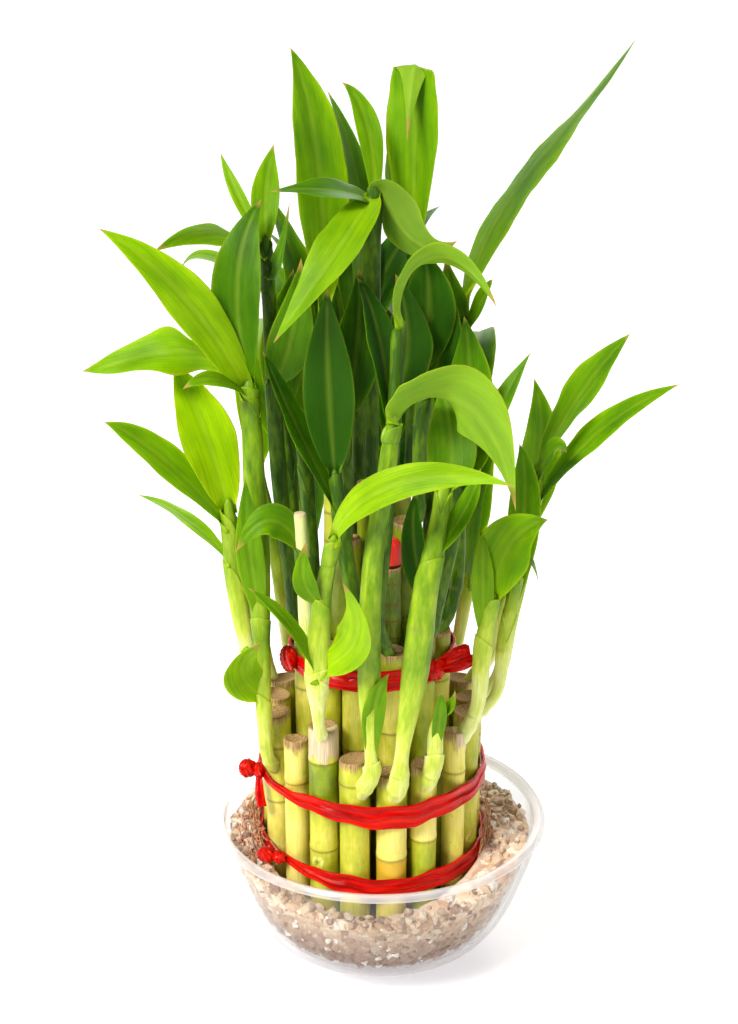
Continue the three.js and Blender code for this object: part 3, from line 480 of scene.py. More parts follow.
def clear_crystal():
    """Clear quartz crystal: half clear and half milky, a little warm."""
    crystal = new_finish("clear_crystal", {"IOR": 1.5, "Specular IOR Level": 0.6})
    place = object_place(crystal)
    cloud = speckle(crystal, place, (1, 1, 1), 700.0, 4.0)
    feed(
        crystal,
        Base_Color=blend(crystal, cloud, (0.98, 0.93, 0.86, 1), (0.84, 0.76, 0.66, 1)),
        Transmission_Weight=spread(crystal, cloud, 0.4, 0.65, 0.4, 0.1),
        Roughness=spread(crystal, cloud, 0.4, 0.7, 0.06, 0.3),
    )
    return crystal


def chip_parts(corners):
    """One part that holds all the given chips, each with its own random tone."""
    start = 12 * np.arange(len(corners))[:, None, None]
    tones = np.repeat(random.uniform(0, 1, len(corners)), 12)
    faces = (ICOSAHEDRON_FACES + start).reshape(-1, 3)
    return [{"points": corners.reshape(-1, 3), "faces": [faces], "finish": 0, "traits": {"chip": tones}}]


chips = scattered_chips()
is_clear = random.uniform(size=len(chips)) < CLEAR_SHARE
make_piece("quartz_chips", chip_parts(chips[~is_clear]), [quartz_finish], smooth=False)
make_piece("crystal_chips", chip_parts(chips[is_clear]), [clear_crystal()], smooth=False)


# The canes: straight cut lengths of stem, each with a leaf scar ring at its joints and a dry brown cut top.
# Each tier stands inside a circle that its canes touch, and is held by its ribbons and the gravel.
CANE_FOOT = RECESS_FLOOR + CLEARANCE
ENVELOPES = {"outer": 42.5, "middle": 30.2, "inner": 18.5}
CUT_SLOPE = 0.6

# The canes of each tier: degrees round from the front towards +X, radius, and height of the cut top
OUTER_CANES = [
    (-90, 5.7, 99), (-71, 5.0, 97), (-48, 4.7, 92.5), (-28.7, 5.5, 101), (-10, 5.7, 90), (11.3, 5.7, 84),
    (30.5, 4.9, 86), (53.3, 4.4, 94.5), (72, 5.0, 97), (90, 5.4, 98), (110, 5.7, 100), (130, 5.6, 98),
    (150, 5.7, 101), (170, 5.6, 97), (-170, 5.7, 99), (-150, 5.6, 102), (-130, 5.7, 98), (-110, 5.6, 100),
]
MIDDLE_CANES = [
    (-73, 5.5, 128), (-43, 5.6, 127), (-13, 5.5, 129), (17, 5.6, 127), (47, 5.4, 130), (77, 5.5, 128),
    (107, 5.6, 129), (137, 5.5, 127), (167, 5.6, 130), (-163, 5.5, 128), (-133, 5.6, 129), (-103, 5.4, 127),
]
INNER_CANES = [
    (28, 3.8, 156), (75, 5.4, 170), (135, 5.6, 178), (-165, 5.5, 174), (-105, 5.4, 187), (-45, 5.3, 166),
]
CENTRE_CANE = (0, 5.6, 184)
CANE_AROUND = 36
CANE_STEP = 2.5
FIRST_RING = 48
RING_SPACING = 31
SCAR_SWELL = 0.22
SCAR_GROOVE = 0.20
CANE_WAIST = 0.12
RING_STATIONS = (-3, -1.8, -1.0, -0.55, -0.25, 0, 0.25, 0.55, 1.0, 1.8, 3)

# The cut top is dished: share of the cane's radius, and height over its shoulder
CUT_DEPTH = 1.2
CUT_PROFILE = [(0.985, 0.75), (0.95, 1.2), (0.86, 1.15), (0.74, 0.7), (0.5, 0.25), (0.2, 0.1)]

# Marks on the canes that show: heights of the leaf scar rings, how green the skin is at heights up the cane
# from 0 for straw to 1 for green, an amber stain between two heights with its strength, a round bud scar, and
# a dry papery sheath left on one side between two heights. Greens over 1 are painted shade on an inner cane
# deep in the bundle.
CANE_MARKS = {
    "cane_outer_02": {"rings": [61.5, 84], "green": [(40, 0.05), (64, 0.2), (99, 0.5)]},
    "cane_outer_03": {
        "rings": [75.6], "green": [(40, 0.0), (60, 0.1), (92, 0.0)], "amber": (73.6, 77.5, 0.45),
    },
    "cane_outer_04": {
        "rings": [52.1, 88], "bud": 47.6, "sheath": (89.5, 101, -75),
        "green": [(46, 0.5), (60, 0.35), (72, 0.6), (75, 1.0), (87.6, 0.95), (88.4, 0.4), (101, 0.5)],
    },
    "cane_outer_05": {"rings": [81], "green": [(40, 0.4), (65, 0.55), (90, 0.5)]},
    "cane_outer_06": {
        "rings": [50.3], "green": [(40, 0.05), (65, 0.1), (72, 0.45), (84, 0.6)], "amber": (38, 50.0, 0.9),
    },
    "cane_outer_07": {"rings": [55.8], "green": [(40, 0.75), (55, 0.6), (57, 0.0), (70, 0.1), (86, 0.6)]},
    "cane_outer_08": {
        "rings": [78.7], "green": [(40, 0.2), (78, 0.1), (94, 0.0)], "sheath": (88.5, 94.5, 10),
    },
    "cane_outer_09": {"rings": [66], "green": [(40, 0.45), (97, 0.55)]},
    # Painted shade: green over 1 darkens this inner cane deep in the bundle.
    "cane_inner_01": {"rings": [120, 128.5, 135.3, 142, 149.8], "green": [(100, 1.2), (156, 1.35)]},
    "cane_inner_05": {"rings": [150, 161, 172, 181], "green": [(100, 0.8), (187, 0.5)]},
}


def wobble(number):
    """Repeatable number from -1 to 1: twice the fraction of a large multiple of sin(12.9898 number + 4.1414),
    less 1."""
    wave = np.sin(12.9898 * number + 4.1414) * 43758.5453
    return 2 * (wave - np.floor(wave)) - 1


def smooth_step(value, low, high):
    """0 below low, 1 above high, and the smooth cubic 3t^2 - 2t^3 between them."""
    t = np.clip((value - low) / (high - low), 0, 1)
    return t * t * (3 - 2 * t)


def bell(value, width):
    """Bell curve: e to the minus square of the value over the width, so 1 at 0."""
    return np.exp(-((value / width) ** 2))


def angle_from(angle, middle):
    """Angle measured from the middle one, within half a turn either way."""
    return (angle - middle + np.pi) % (2 * np.pi) - np.pi


def outward_way(degrees):
    """Direction out of the bundle, at degrees round from the front towards +X."""
    return np.array([np.sin(np.radians(degrees)), -np.cos(np.radians(degrees)), 0])


def round_tier(reach, degrees, height):
    """Place at a distance from the bundle's middle, at degrees round from the front, and at a height."""
    return outward_way(degrees) * reach + [BUNDLE_X, 0, height]


def all_canes():
    """The canes of the three tiers, each with its own marks or with drawn ones."""
    rows = [("outer", row) for row in OUTER_CANES]
    rows += [("middle", row) for row in MIDDLE_CANES]
    rows += [("inner", row) for row in [*INNER_CANES, CENTRE_CANE]]
    counts = {"outer": 0, "middle": 0, "inner": 0}
    made = []
    for number, (tier, (degrees, radius, top)) in enumerate(rows, 1):
        counts[tier] += 1
        name = f"cane_{tier}_{counts[tier]:02d}"
        reach = 0 if (degrees, radius, top) == CENTRE_CANE else ENVELOPES[tier] - radius
        first = FIRST_RING + 6 * wobble(number + 50)
        drawn = {
            "rings": list(np.arange(first, top - 6, RING_SPACING + 8 * wobble(number + 90))),
            # The last step, dark green at 130 mm, is painted shade on the middle and inner canes deep in the
            # bundle.
            "green": [
                (40, 0.42 + 0.3 * wobble(number + 20)), (105, 0.5 + 0.35 * wobble(number + 30)), (130, 0.95),
            ],
        }
        made.append({
            "name": name, "tier": tier, "number": number, "radius": radius, "top": top,
            "outward": outward_way(degrees), "centre": round_tier(reach, degrees, 0),
            "turn": np.radians(degrees - 90),
            "marks": {**drawn, **CANE_MARKS.get(name, {})},
        })
    return made


def cane_part(cane):
    """A cane's skin and cut top as rings. Its radius swells by a bell curve at each leaf scar, less a
    narrower one for the groove under it, and varies with the sine of the height. The cut is dished inside
    its dry rim, and slopes."""
    radius, top, turn, marks = cane["radius"], cane["top"], cane["turn"], cane["marks"]
    rings, shoulder = np.array(marks["rings"]), top - CUT_DEPTH
    even = np.linspace(CANE_FOOT, shoulder, int((top - CANE_FOOT) / CANE_STEP))
    heights = np.concatenate([even, *[rings + step for step in RING_STATIONS]])
    heights = np.unique(np.round(heights[(heights >= CANE_FOOT) & (heights <= shoulder)], 2))
    near = heights[:, None] - rings
    swell = (SCAR_SWELL * bell(near, 1.9) - SCAR_GROOVE * bell(near + 0.25, 0.3)).sum(1)
    waist = CANE_WAIST * np.sin(heights / 9.0 + cane["number"])
    cut_share, cut_rise = np.array(CUT_PROFILE).T
    share = np.concatenate([1 + (swell - CANE_WAIST + waist * 0.6) / radius, cut_share])[:, None]
    slope = np.concatenate([0 * heights, np.ones(len(cut_rise))])[:, None]
    height = np.concatenate([heights, shoulder + cut_rise])[:, None]
    angle = turn + full_turn(CANE_AROUND)
    sheath = 0.0
    if "sheath" in marks:
        low, high, facing = marks["sheath"]
        aside = np.abs(angle_from(angle, np.radians(facing)))
        torn = 1.3 * np.sin(5 * angle) + 0.8 * np.sin(11 * angle + 1)
        sheath = smooth_step(height - torn, low - 0.4, low + 0.4) * (1 - smooth_step(aside, 1.5, 1.7))
        sheath = sheath * (height <= high)
    reach = radius * share * (1 + 0.012 * np.cos(2 * angle + cane["number"])) + 0.3 * sheath * (1 - slope)
    tilt = CUT_SLOPE * slope * np.cos(angle + 7 * turn) * share
    local = round_points(reach, angle, height + tilt)
    near_ring = np.abs(height - rings + 0.25)
    amber = 0.0
    if "amber" in marks:
        low, high, strength = marks["amber"]
        amber = smooth_step(height, low - 1, low + 0.5) * (1 - smooth_step(height, high - 0.5, high + 0.3))
        amber = amber * strength
    bud = 0.0
    if "bud" in marks:
        off = np.hypot(radius * angle_from(angle, turn), height - marks["bud"])
        bud = bell(off - 1.9, 0.5) - 1.6 * bell(off, 1.1)
    return closed_part(
        local + cane["centre"], grain=local, green=np.interp(height, *np.array(marks["green"]).T),
        scar=(bell(near_ring, 0.45) + 0.35 * bell(near_ring, 1.6)).sum(1, keepdims=True),
        dry=np.maximum(0.75 * smooth_step(height, top - 6, top - 0.6), slope), amber=amber, bud=bud,
        sheath=sheath,
    )


def cane_skin():
    """Cane skin: waxy straw yellow to green with fine lengthwise fibres and faint spots, dark brown in the
    leaf scars, papery brown where it dried at the cut, with some amber stain. Its deepest green also serves
    as painted shade on the middle and inner canes deep in the bundle."""
    skin = new_finish("cane_skin", {"Specular IOR Level": 0.3})
    grain = trait_of(skin, "grain")
    fibre = speckle(skin, grain, (1, 1, 0.035), 2.6, 4.0)
    patch = speckle(skin, grain, (1, 1, 0.45), 0.16, 4.0)
    spots = speckle(skin, grain, (1, 1, 0.8), 0.9, 2.0)
    green = added(skin, trait_of(skin, "green"), spread(skin, patch, 0.3, 0.7, -0.28, 0.28))
    # The darkest greens of these steps also serve as painted shade on canes deep in the bundle.
    fresh = colour_steps(skin, spread(skin, green, -0.1, 1.3), [
        (0.00, (0.90, 0.76, 0.22, 1)), (0.18, (0.82, 0.72, 0.12, 1)), (0.42, (0.55, 0.54, 0.035, 1)),
        (0.68, (0.27, 0.36, 0.006, 1)), (1.00, (0.07, 0.13, 0.002, 1)),
    ])
    bud = trait_of(skin, "bud")
    scar = spread(skin, fibre, 0.3, 0.7, 0.75, 1.1)
    scar = added(skin, trait_of(skin, "scar"), scar, operation="MULTIPLY")
    husk = blend(skin, spread(skin, fibre, 0.35, 0.65), (0.17, 0.085, 0.025, 1), (0.58, 0.38, 0.16, 1))
    wilt = added(skin, trait_of(skin, "dry"), spread(skin, patch, 0.3, 0.7, -0.45, 0.35))
    dried = layered(
        skin, fresh,
        (fibre, 0.45, 0.72, 0.35, (0.34, 0.33, 0.03, 1)), (spots, 0.66, 0.74, 0.5, (0.28, 0.20, 0.03, 1)),
        (trait_of(skin, "amber"), 0, 1, 1, (0.66, 0.38, 0.02, 1)),
        (bud, 0.1, 1.0, 0.8, (0.80, 0.80, 0.32, 1)), (bud, -0.2, -1.2, 0.9, (0.10, 0.16, 0.01, 1)),
        (scar, 0.15, 1.1, 0.6, (0.16, 0.10, 0.015, 1)), (wilt, 0.2, 0.75, 1, husk),
    )
    paper = blend(skin, spread(skin, fibre, 0.35, 0.7), (0.74, 0.60, 0.40, 1), (0.50, 0.34, 0.17, 1))
    sheathed = blend(skin, trait_of(skin, "sheath"), dried, paper)
    feed(
        skin, Base_Color=sheathed, Roughness=spread(skin, wilt, 0.2, 0.8, 0.34, 0.75),
        Normal=relief(skin, fibre, 0.00012, 0.8),
    )
    return skin


# The shoots: each grows from the upper end of a cane as a jointed green stem, wrapped in the bases of its
# leaves. Each leaf clasps the stem and narrows to a drawn-out tip.

# A path holds the points that a stem runs through after it leaves its cane, with its radius at each. A foot
# is the height where it leaves the cane's side, if that is well below the cut. A blunt stem ends in a dry
# cut. A blade: place along the stem, width, compass heading, turn about its midrib, the points that the
# midrib runs through to the tip, and how lime the leaf is, if it stands out from the rule for that. Lime
# values below 0 are painted shade on leaves in the middle of the bundle.
SHOOTS = {
    "cane_outer_01": {
        "path": [(-49, 0, 112, 2.6), (-54, 2, 142, 3.4), (-56, 3, 174, 2.8)],
        "blades": [
            (0.97, 21, 180, -60, [(-65, 6, 203), (-76, 14, 225)], 0.78),
            (0.93, 14, 196, (-39, -63), [(-80, -2, 194), (-99, -6, 208)]),
            (0.82, 8, 165, -10, [(-74, 12, 166), (-93, 22, 172)]),
            (0.55, 8, 180, 0, [(-57, 5, 142), (-58, 8, 156)]),
        ],
    },
    "cane_outer_02": {
        "foot": 77,
        "path": [
            (-42.5, -21.5, 88, 2.4), (-43, -23, 128, 2.7), (-44, -20, 161, 3.9),
            (-45, -16, 197, 3.3), (-46, -13, 223, 3),
        ],
        "blades": [
            (0.97, 17, 180, -55, [(-67, -22, 256), (-94, -24, 279)]),
            (0.97, 18, 96, (-104, -115), [(-64, 0, 232), (-86, 2, 230), (-108, 5, 224)], 0.52),
            (0.97, 7, 223, (-33, -49), [(-57, -26, 228), (-67, -32, 226)]),
            (0.99, 18, 77, (-9, 8), [(-49, -12, 260), (-41, -1, 286)], 0.15),
            (0.42, 15, 180, -65, [(-50, -31, 122), (-42, -38, 136)], 0.6),
            (0.55, 10, 90, 0, [(-46, -28, 168), (-47, -27, 194)]),
        ],
    },
    "cane_outer_04": {
        "path": [(-22, -43, 110, 2.2), (-22, -46, 131, 3.9), (-20, -45, 156, 2.7), (-16, -46, 177, 2.3)],
        "blades": [
            (0.56, 8, 197, (-27, -45), [(-31, -52, 148), (-45, -54, 163)]),
            (0.58, 15, 0, 50, [(-8, -58, 147), (-13, -62, 168)], 0.68),
            (0.78, 8, 90, 0, [(-26, -50, 164), (-25, -49, 178)]),
            (0.99, 12, -23, (58, 74), [(-4, -58, 196), (18, -64, 205), (42, -76, 205)], 0.62),
        ],
    },
    "cane_outer_05": {
        "foot": 80,
        "path": [
            (-3, -43.7, 88, 3.1), (-3.5, -45.5, 99, 2), (-4, -48, 125, 3.5),
            (-3, -47, 166, 3.1), (2, -45, 202, 2.7), (4, -45, 219, 2.7),
        ],
        "blades": [
            (0.98, 28, -136, (104, 182), [(13, -44, 226), (30, -52, 224), (43, -70, 195)], 0.38),
            (0.36, 8, 90, 0, [(-2, -50, 117), (3, -51, 130)]),
        ],
    },
    "cane_outer_06": {
        "foot": 79.5,
        "path": [
            (7, -43.5, 86, 3.4), (8, -46, 99, 2.3), (12, -49, 130, 4.2),
            (15, -48, 157, 3.9), (19, -44, 178, 3), (22, -40, 197, 2.4),
        ],
        "blades": [
            (0.97, 17, 90, 0, [(24, -37, 209), (20, -34, 233)]),
            (0.8, 9, 0, 40, [(29, -44, 188), (33, -48, 203)]),
        ],
    },
    "cane_outer_07": {
        "foot": 81,
        "path": [(19.5, -40.5, 92, 2.9), (20, -43, 112, 1.5)],
        "blades": [
            (0.97, 5, 0, 30, [(25, -45, 115), (26, -47, 122)]),
            (0.7, 5, 90, 0, [(21, -46, 112), (21, -47, 121)]),
        ],
    },
    "cane_outer_08": {
        "path": [(36, -24, 106, 2.5), (37, -26, 128, 2.9), (40, -29, 150, 2.3)],
        "blades": [
            (0.98, 20, 0, 60, [(45, -36, 172), (57, -42, 183)]),
            (0.8, 8, 90, 0, [(36, -32, 158), (36, -32, 176)]),
        ],
    },
    "cane_outer_09": {
        "path": [(44, -13, 106, 2), (46, -15, 128, 2.4), (50, -18, 154, 1.6)],
        "blades": [
            (0.98, 6, 12, 18, [(53, -26, 162), (57, -22, 152)]),
            (0.85, 12, 90, 0, [(52, -12, 178), (50, -6, 200)]),
        ],
    },
    "cane_outer_10": {
        "path": [(46, 0, 108, 2.4), (49, 1, 128, 2.8), (54, 1, 155, 2.7), (58, 1, 190, 2.1)],
        "blades": [
            (0.99, 17, -23, (28, 69), [(73, 4, 216), (89, 0, 239)]),
            (0.9, 12, -23, (30, 66), [(79, -2, 203), (104, -19, 225)]),
            (0.96, 9, 0, 20, [(62, -8, 198), (66, -15, 199)]),
        ],
    },
    "cane_outer_11": {
        "path": [(44, 17, 108, 2.3), (48, 20.5, 129, 2.6), (54.5, 24.5, 157, 1.8)],
        "blades": [
            (0.96, 16, 86, 4, [(61, 22, 188), (57, 17, 219)]),
            (0.82, 12, 34, 28, [(66, 40, 176), (76, 52, 180)]),
        ],
    },
    "cane_middle_01": {
        "path": [(-33, -7, 148, 2.3), (-37, -3, 190, 2.6), (-39, 0, 240, 2.2), (-40, 0, 272, 1.7)],
        "blades": [
            (0.99, 10, 90, 0, [(-40, 6, 288), (-37, 8, 304)]),
            (0.95, 14, 146, (213, 226), [(-58, 6, 274), (-80, 4, 267)]),
            (0.88, 8, 170, -20, [(-62, 20, 263), (-73, 26, 258)]),
            (0.92, 8, 0, 30, [(-35, -6, 266), (-31, -8, 286)]),
            (0.98, 5, 90, 0, [(-51, 16, 286), (-57, 22, 300)]),
            (0.72, 16, 90, 0, [(-31, -12, 240), (-27, -15, 268)]),
        ],
    },
    "cane_middle_02": {
        "blunt": True,
        "path": [(-26, -28, 137, 2.8), (-27, -31, 159, 2.4), (-28, -33, 182, 2.1)],
        "blades": [
            (0.85, 12, 180, -60, [(-38, -37, 181), (-50, -39, 170)]),
        ],
    },
    "cane_middle_03": {
        "path": [(-9, -29, 145, 2.2), (-13, -27, 170, 2.6), (-16, -24, 194, 1.8)],
        "blades": [
            # Lime below 0: painted shade on a leaf in the middle of the bundle.
            (0.99, 18, 90, 0, [(-18, -15, 226), (-18, -11, 258)], -0.15),
            (0.85, 12, 180, -30, [(-27, -22, 215), (-34, -24, 240)]),
        ],
    },
    "cane_middle_04": {
        "path": [(-1, -33, 145, 2.2), (1, -33, 172, 2.6), (4, -30, 208, 2.3), (6, -29, 249, 1.8)],
        "blades": [
            (0.99, 13, 20, (-42, -38), [(10, -31, 266), (23, -30, 270), (38, -41, 255)], 0.42),
            (0.8, 14, 180, -40, [(-8, -24, 241), (-19, -18, 258)]),
            (0.86, 18, 90, 0, [(16, -19, 240), (14, -14, 262)]),
        ],
    },
    "cane_middle_05": {
        "path": [(22, -24, 152, 2.2), (26, -22, 175, 2.6), (27, -19, 197, 1.8)],
        "blades": [
            (0.98, 17, 90, 0, [(31, -15, 222), (29, -10, 247)]),
            (0.8, 11, 0, 45, [(39, -14, 209), (53, -8, 234)]),
            # Lime below 0: painted shade on a leaf in the middle of the bundle.
            (0.35, 11, 79, (-30, -3), [(12.5, -27, 165), (12.5, -25, 189)], -0.1),
        ],
    },
    "cane_middle_06": {
        "path": [(29, 0, 146, 2.2), (29, 5, 178, 2.6), (29, 10, 212, 2.3), (30, 11, 250, 1.7)],
        "blades": [
            (0.99, 17, -41, (163, 196), [(44, 6, 284), (65, 4, 312), (87, 8, 339)]),
            (0.95, 10, 90, 0, [(26, 6, 250), (23, 4, 266)]),
            (0.92, 9, 0, 20, [(36, 2, 250), (39, -5, 259)]),
        ],
    },
    "cane_middle_12": {
        "path": [(-31, 7, 150, 2.2), (-34, 9, 180, 2.6), (-36, 10, 208, 1.7)],
        "blades": [
            (0.98, 17, 90, 0, [(-35, 12, 234), (-31, 12, 260)]),
            (0.85, 13, 150, -25, [(-48, 22, 218), (-58, 32, 236)]),
        ],
    },
    "cane_inner_02": {
        "path": [(14, -6, 192, 2.2), (15, -6, 212, 2.5), (15, -5, 228, 1.8)],
        "blades": [
            (0.98, 19, 90, 0, [(17, -1, 250), (15, 4, 268)]),
            (0.8, 14, 90, 0, [(22, -2, 236), (23, 2, 258)]),
        ],
    },
    "cane_inner_03": {
        "path": [(12, 12, 205, 2.2), (12, 14, 240, 2.5), (12, 14, 272, 1.8)],
        "blades": [
            (0.98, 21, 66, (-10, -10), [(12, 13, 303), (12, 15, 329), (9, 2, 305)], 0.38),
            (0.97, 12, 108, 38, [(5, 22, 285), (3, 26, 307)]),
        ],
    },
    "cane_inner_05": {
        "path": [(-18, 4, 200, 2.2), (-20, 4, 224, 2.6), (-20, 4, 246, 1.9)],
        "blades": [
            (0.99, 20, 41, (73, 84), [(-22, 5, 301), (-31, 10, 336)], 0.4),
            (0.8, 14, 180, -30, [(-33, 20, 264), (-29, 24, 280)]),
        ],
    },
    "cane_inner_06": {
        "path": [(-12, -13, 186, 2.2), (-13, -15, 200, 2.5), (-13, -15, 212, 1.8)],
        "blades": [
            (0.98, 17, 90, 0, [(-8, -15, 238), (-7, -13, 264)]),
            (0.8, 13, 90, 0, [(-20, -12, 218), (-24, -8, 240)]),
        ],
    },
    "cane_inner_07": {
        "path": [(-3, -4, 215, 2.3), (-3, -5, 250, 2.6), (-2, -3, 290, 2)],
        "blades": [
            (0.99, 17, 200, -35, [(-15, -24, 271), (-36, -33, 242)], 0.5),
            (0.97, 12, 190, (-22, -32), [(-17, -12, 290), (-37, -15, 290)], 0.2),
            (0.97, 19, -8, (-35, -84), [(2, -4, 285), (11, -12, 274), (26, -17, 274)], 0.15),
            (0.97, 9, 162, -48, [(-10, 12, 309), (-21, 18, 320)]),
        ],
    },
}

# Shoots at the sides and back follow one rule: height, lean outwards, and number of blades. A row of their
# stem is a share of its height, and its radius there.
RULED_SHOOTS = {
    "cane_outer_12": (150, 12, 2), "cane_outer_13": (178, 15, 2), "cane_outer_14": (165, 14, 3),
    "cane_outer_15": (184, 16, 2), "cane_outer_16": (168, 13, 3), "cane_outer_17": (180, 14, 2),
    "cane_outer_18": (160, 12, 3), "cane_middle_07": (190, 8, 2), "cane_middle_08": (204, 9, 3),
    "cane_middle_09": (222, 10, 3), "cane_middle_10": (208, 9, 3), "cane_middle_11": (218, 10, 3),
    "cane_inner_04": (246, 4, 3),
}
RULED_STEM = [(0.3, 2.3), (0.65, 2.4), (1, 1.6)]
RULED_BLADE_LENGTH = 58
RULED_BLADE_WIDTH = 16
RULED_BLADE_SLOPES = (66, 18)

# A stem is rooted this far under its foot in an outer cane, or under the cut of another cane, and has a leaf
# scar at each spacing
ROOTED_IN_SIDE = 7
ROOTED_IN_CUT = 3
STEM_AROUND = 20
STEM_STEPS = 12
SCAR_SPACING = 19

# A leaf base's collar: share of its height, how far it stands off the stem, and how pale its rim is
COLLAR = [
    (0, -0.35, 0), (0.15, 0.0, 0), (0.35, 0.12, 0), (0.6, 0.22, 0), (0.8, 0.3, 0), (0.93, 0.36, 0.05),
    (1, 0.38, 0.15), (1, 0.2, 0.25), (0.97, -0.3, 0.25),
]
COLLAR_LENGTH = 9
COLLAR_RAISED = 1.5
COLLAR_NOTCH = 6
BLADE_STATIONS = 40
BLADE_AROUND = 24
BLADE_FOLD = 0.2
BLADE_THICKNESS = 0.20
MIDRIB_KEEL = 0.22
MIDRIB_HALF_WIDTH = 0.8
MIDRIB_STEP = 0.002
YAW_TURNS = range(-54, 55, 6)
PITCH_TURNS = range(-24, 25, 6)
TIP_MATCH = 0.06


def unit(vectors):
    """The vectors at length 1."""
    return vectors / np.linalg.norm(vectors, axis=-1, keepdims=True)


def stem_points(cane, path, foot):
    """Points that a stem runs through: inside the cane, out of it on the side of the path, and along the
    path."""
    start = foot - ROOTED_IN_SIDE if cane["tier"] == "outer" else cane["top"] - ROOTED_IN_CUT
    inside = cane["centre"] + [0, 0, start]
    way = unit((path[0] - cane["centre"]) * [1, 1, 0])
    return np.vstack([inside, cane["centre"] + way * cane["radius"] * 0.9 + [0, 0, foot], path])


def way_along(points):
    """How far each point of a row lies along it, from the first."""
    return np.concatenate([[0], np.cumsum(np.linalg.norm(np.diff(points, axis=0), axis=1))])


def stem_frame(points, share):
    """Centre of the stem and its two cross directions: +X made square to the stem, and the one square to
    both. The stem's way is taken just inside its ends."""
    inside = np.clip(share, MIDRIB_STEP, 1 - MIDRIB_STEP)
    tangent = unit(along_spline(points, inside + MIDRIB_STEP) - along_spline(points, inside - MIDRIB_STEP))
    across = unit(np.array([1.0, 0, 0]) - tangent * tangent[..., :1])
    return along_spline(points, share), across, np.cross(tangent, across)


def tube_rings(points, share, angle, radius):
    """Rings round a stem: at each share of its way, points at the angles, as far out as the radius."""
    centre, across, over = stem_frame(points, share)
    return centre + radius[..., None] * (across * np.cos(angle)[..., None] + over * np.sin(angle)[..., None])


def stem_radius(girth, share):
    """Radius of the stem at shares of its way: the girth of the first path point inside the cane, then the
    girth at each path point, smoothly joined."""
    return along_spline(np.array([girth[0], girth[0], *girth])[:, None], share)[..., 0]


def pale_share(way, tone):
    """How whitish a stem is at a way up it: the tone, faded out from 12 to 78 mm, and a quarter more for a
    pale stem."""
    return (1 - smooth_step(way, 12, 78)) * tone + (0.25 if tone > 0.4 else 0.0)


def stem_parts(points, girth, blunt, number, tone):
    """The stem as a tube of leaf bases rolled round each other. Its radius is the girth with a bell curve at
    each scar and one near the foot, times 1 plus a share of cos(2 angle) that flattens it, with waves round
    it for its ribs and knobs. It ends in a blunt cut or a short slim point."""
    count = (len(points) - 1) * STEM_STEPS
    share = np.concatenate([np.linspace(0, 1, count + 1), [1, 1]])
    way = way_along(along_spline(points, share))
    left = way[-1] - way
    radius = stem_radius(girth, share)
    if not blunt:
        radius = radius * (0.6 + 0.4 * smooth_step(left, 0, 12))
    radius[-2:] *= (0.92, 0.7) if blunt else (0.75, 0.4)
    joint = (way + 2.5 * np.sin(way / 9 + number)) % (SCAR_SPACING + 5 * wobble(number + 60))
    radius = radius + 0.12 * bell(joint, 1.4) + 0.35 * bell(way - 10.5, 2.6)
    ring = (bell(joint - 0.2, 0.3) * smooth_step(left, 12, 20))[:, None]
    share, way, radius = share[:, None], way[:, None], radius[:, None]
    angle = full_turn(STEM_AROUND)
    flat = 0.04 + 0.10 * smooth_step(way, 14, 32) * (not blunt)
    twist = 0.5 * np.sin(way / 28 + 2.3 * number)
    edge = bell((angle + twist + number) % (2 * np.pi) - np.pi, 0.22)
    ribbed = radius * (1 + flat * np.cos(2 * angle)) + 0.05 * np.cos(7 * angle + twist) + 0.16 * edge
    knobs = np.sin(3 * angle + way / 1.9 + number) * np.sin(way / 1.4 - 2 * angle)
    ribbed = ribbed + 0.3 * knobs * (1 - smooth_step(way, 8, 20))
    rings = tube_rings(points, share, angle, ribbed)
    tangent = unit(points[-1] - along_spline(points, np.array([0.97]))[0])
    push = np.array([0.2, 0.3] if blunt else [0.35, 0.75])[:, None, None]
    rings[-2:] += tangent * push * girth[-1]
    cut = np.zeros(share.shape)
    cut[-3:] = blunt
    return [closed_part(
        rings, tip=None if blunt else points[-1] + tangent * girth[-1], finish=1,
        grain=round_points(ribbed, angle, way), scar=ring * (0.4 + 0.3 * np.sin(2 * angle)), dry=cut,
        pale=1.0 if blunt else np.maximum(pale_share(way, tone), 0.7 * tone * edge),
    )]


def clasping_base(points, girth, place, toward, reach, tone):
    """Leaf base wrapped round the stem under its blade: a thin collar on the stem's own radius. Its rim
    stands highest under the blade, by the cosine of the angle off it, and dips by a bell curve to a notch
    opposite."""
    steps = np.linspace(0, 1, 60)
    way = way_along(along_spline(points, steps))
    length = way[-1]
    centre, across, over = stem_frame(points, np.array([place]))
    facing = np.arctan2((toward - centre[0]) @ over[0], (toward - centre[0]) @ across[0])
    angle = full_turn(STEM_AROUND + 6)
    off = angle_from(angle, facing)
    top = place + (COLLAR_RAISED * np.cos(off) - COLLAR_NOTCH * bell(np.abs(off) - np.pi, 0.55)) / length
    rise, thick, rim = (column[:, None] for column in np.array(COLLAR).T)
    bottom = place - reach / length
    share = bottom + (top - bottom) * rise
    radius = (stem_radius(girth, share) + thick) * (1 + 0.12 * np.cos(2 * angle))
    rings = tube_rings(points, share, angle, radius)
    along = np.interp(share, steps, way)
    grain = round_points(radius, angle, along)
    return closed_part(rings, finish=1, grain=grain, pale=pale_share(along, tone) + rim * tone)


def midrib_points(points, t):
    """The polynomial that runs through the points at equal steps of t from 0 to 1."""
    last = len(points) - 1
    numbers = np.arange(last + 1)
    result = np.zeros((len(t), 3))
    for i in numbers:
        others = numbers[numbers != i]
        result += np.prod((t[:, None] * last - others) / (i - others), axis=1)[:, None] * points[i]
    return result


def blade_share(t):
    """Share of the full width at t from 0 at the base to 1 at the tip: the sine of a half turn, widest before
    the middle, and a foot that fades by the eighth power of what is left."""
    return np.maximum(np.sin(np.pi * t**0.82), 0) ** 1.1 + 0.27 * (1 - t) ** 8


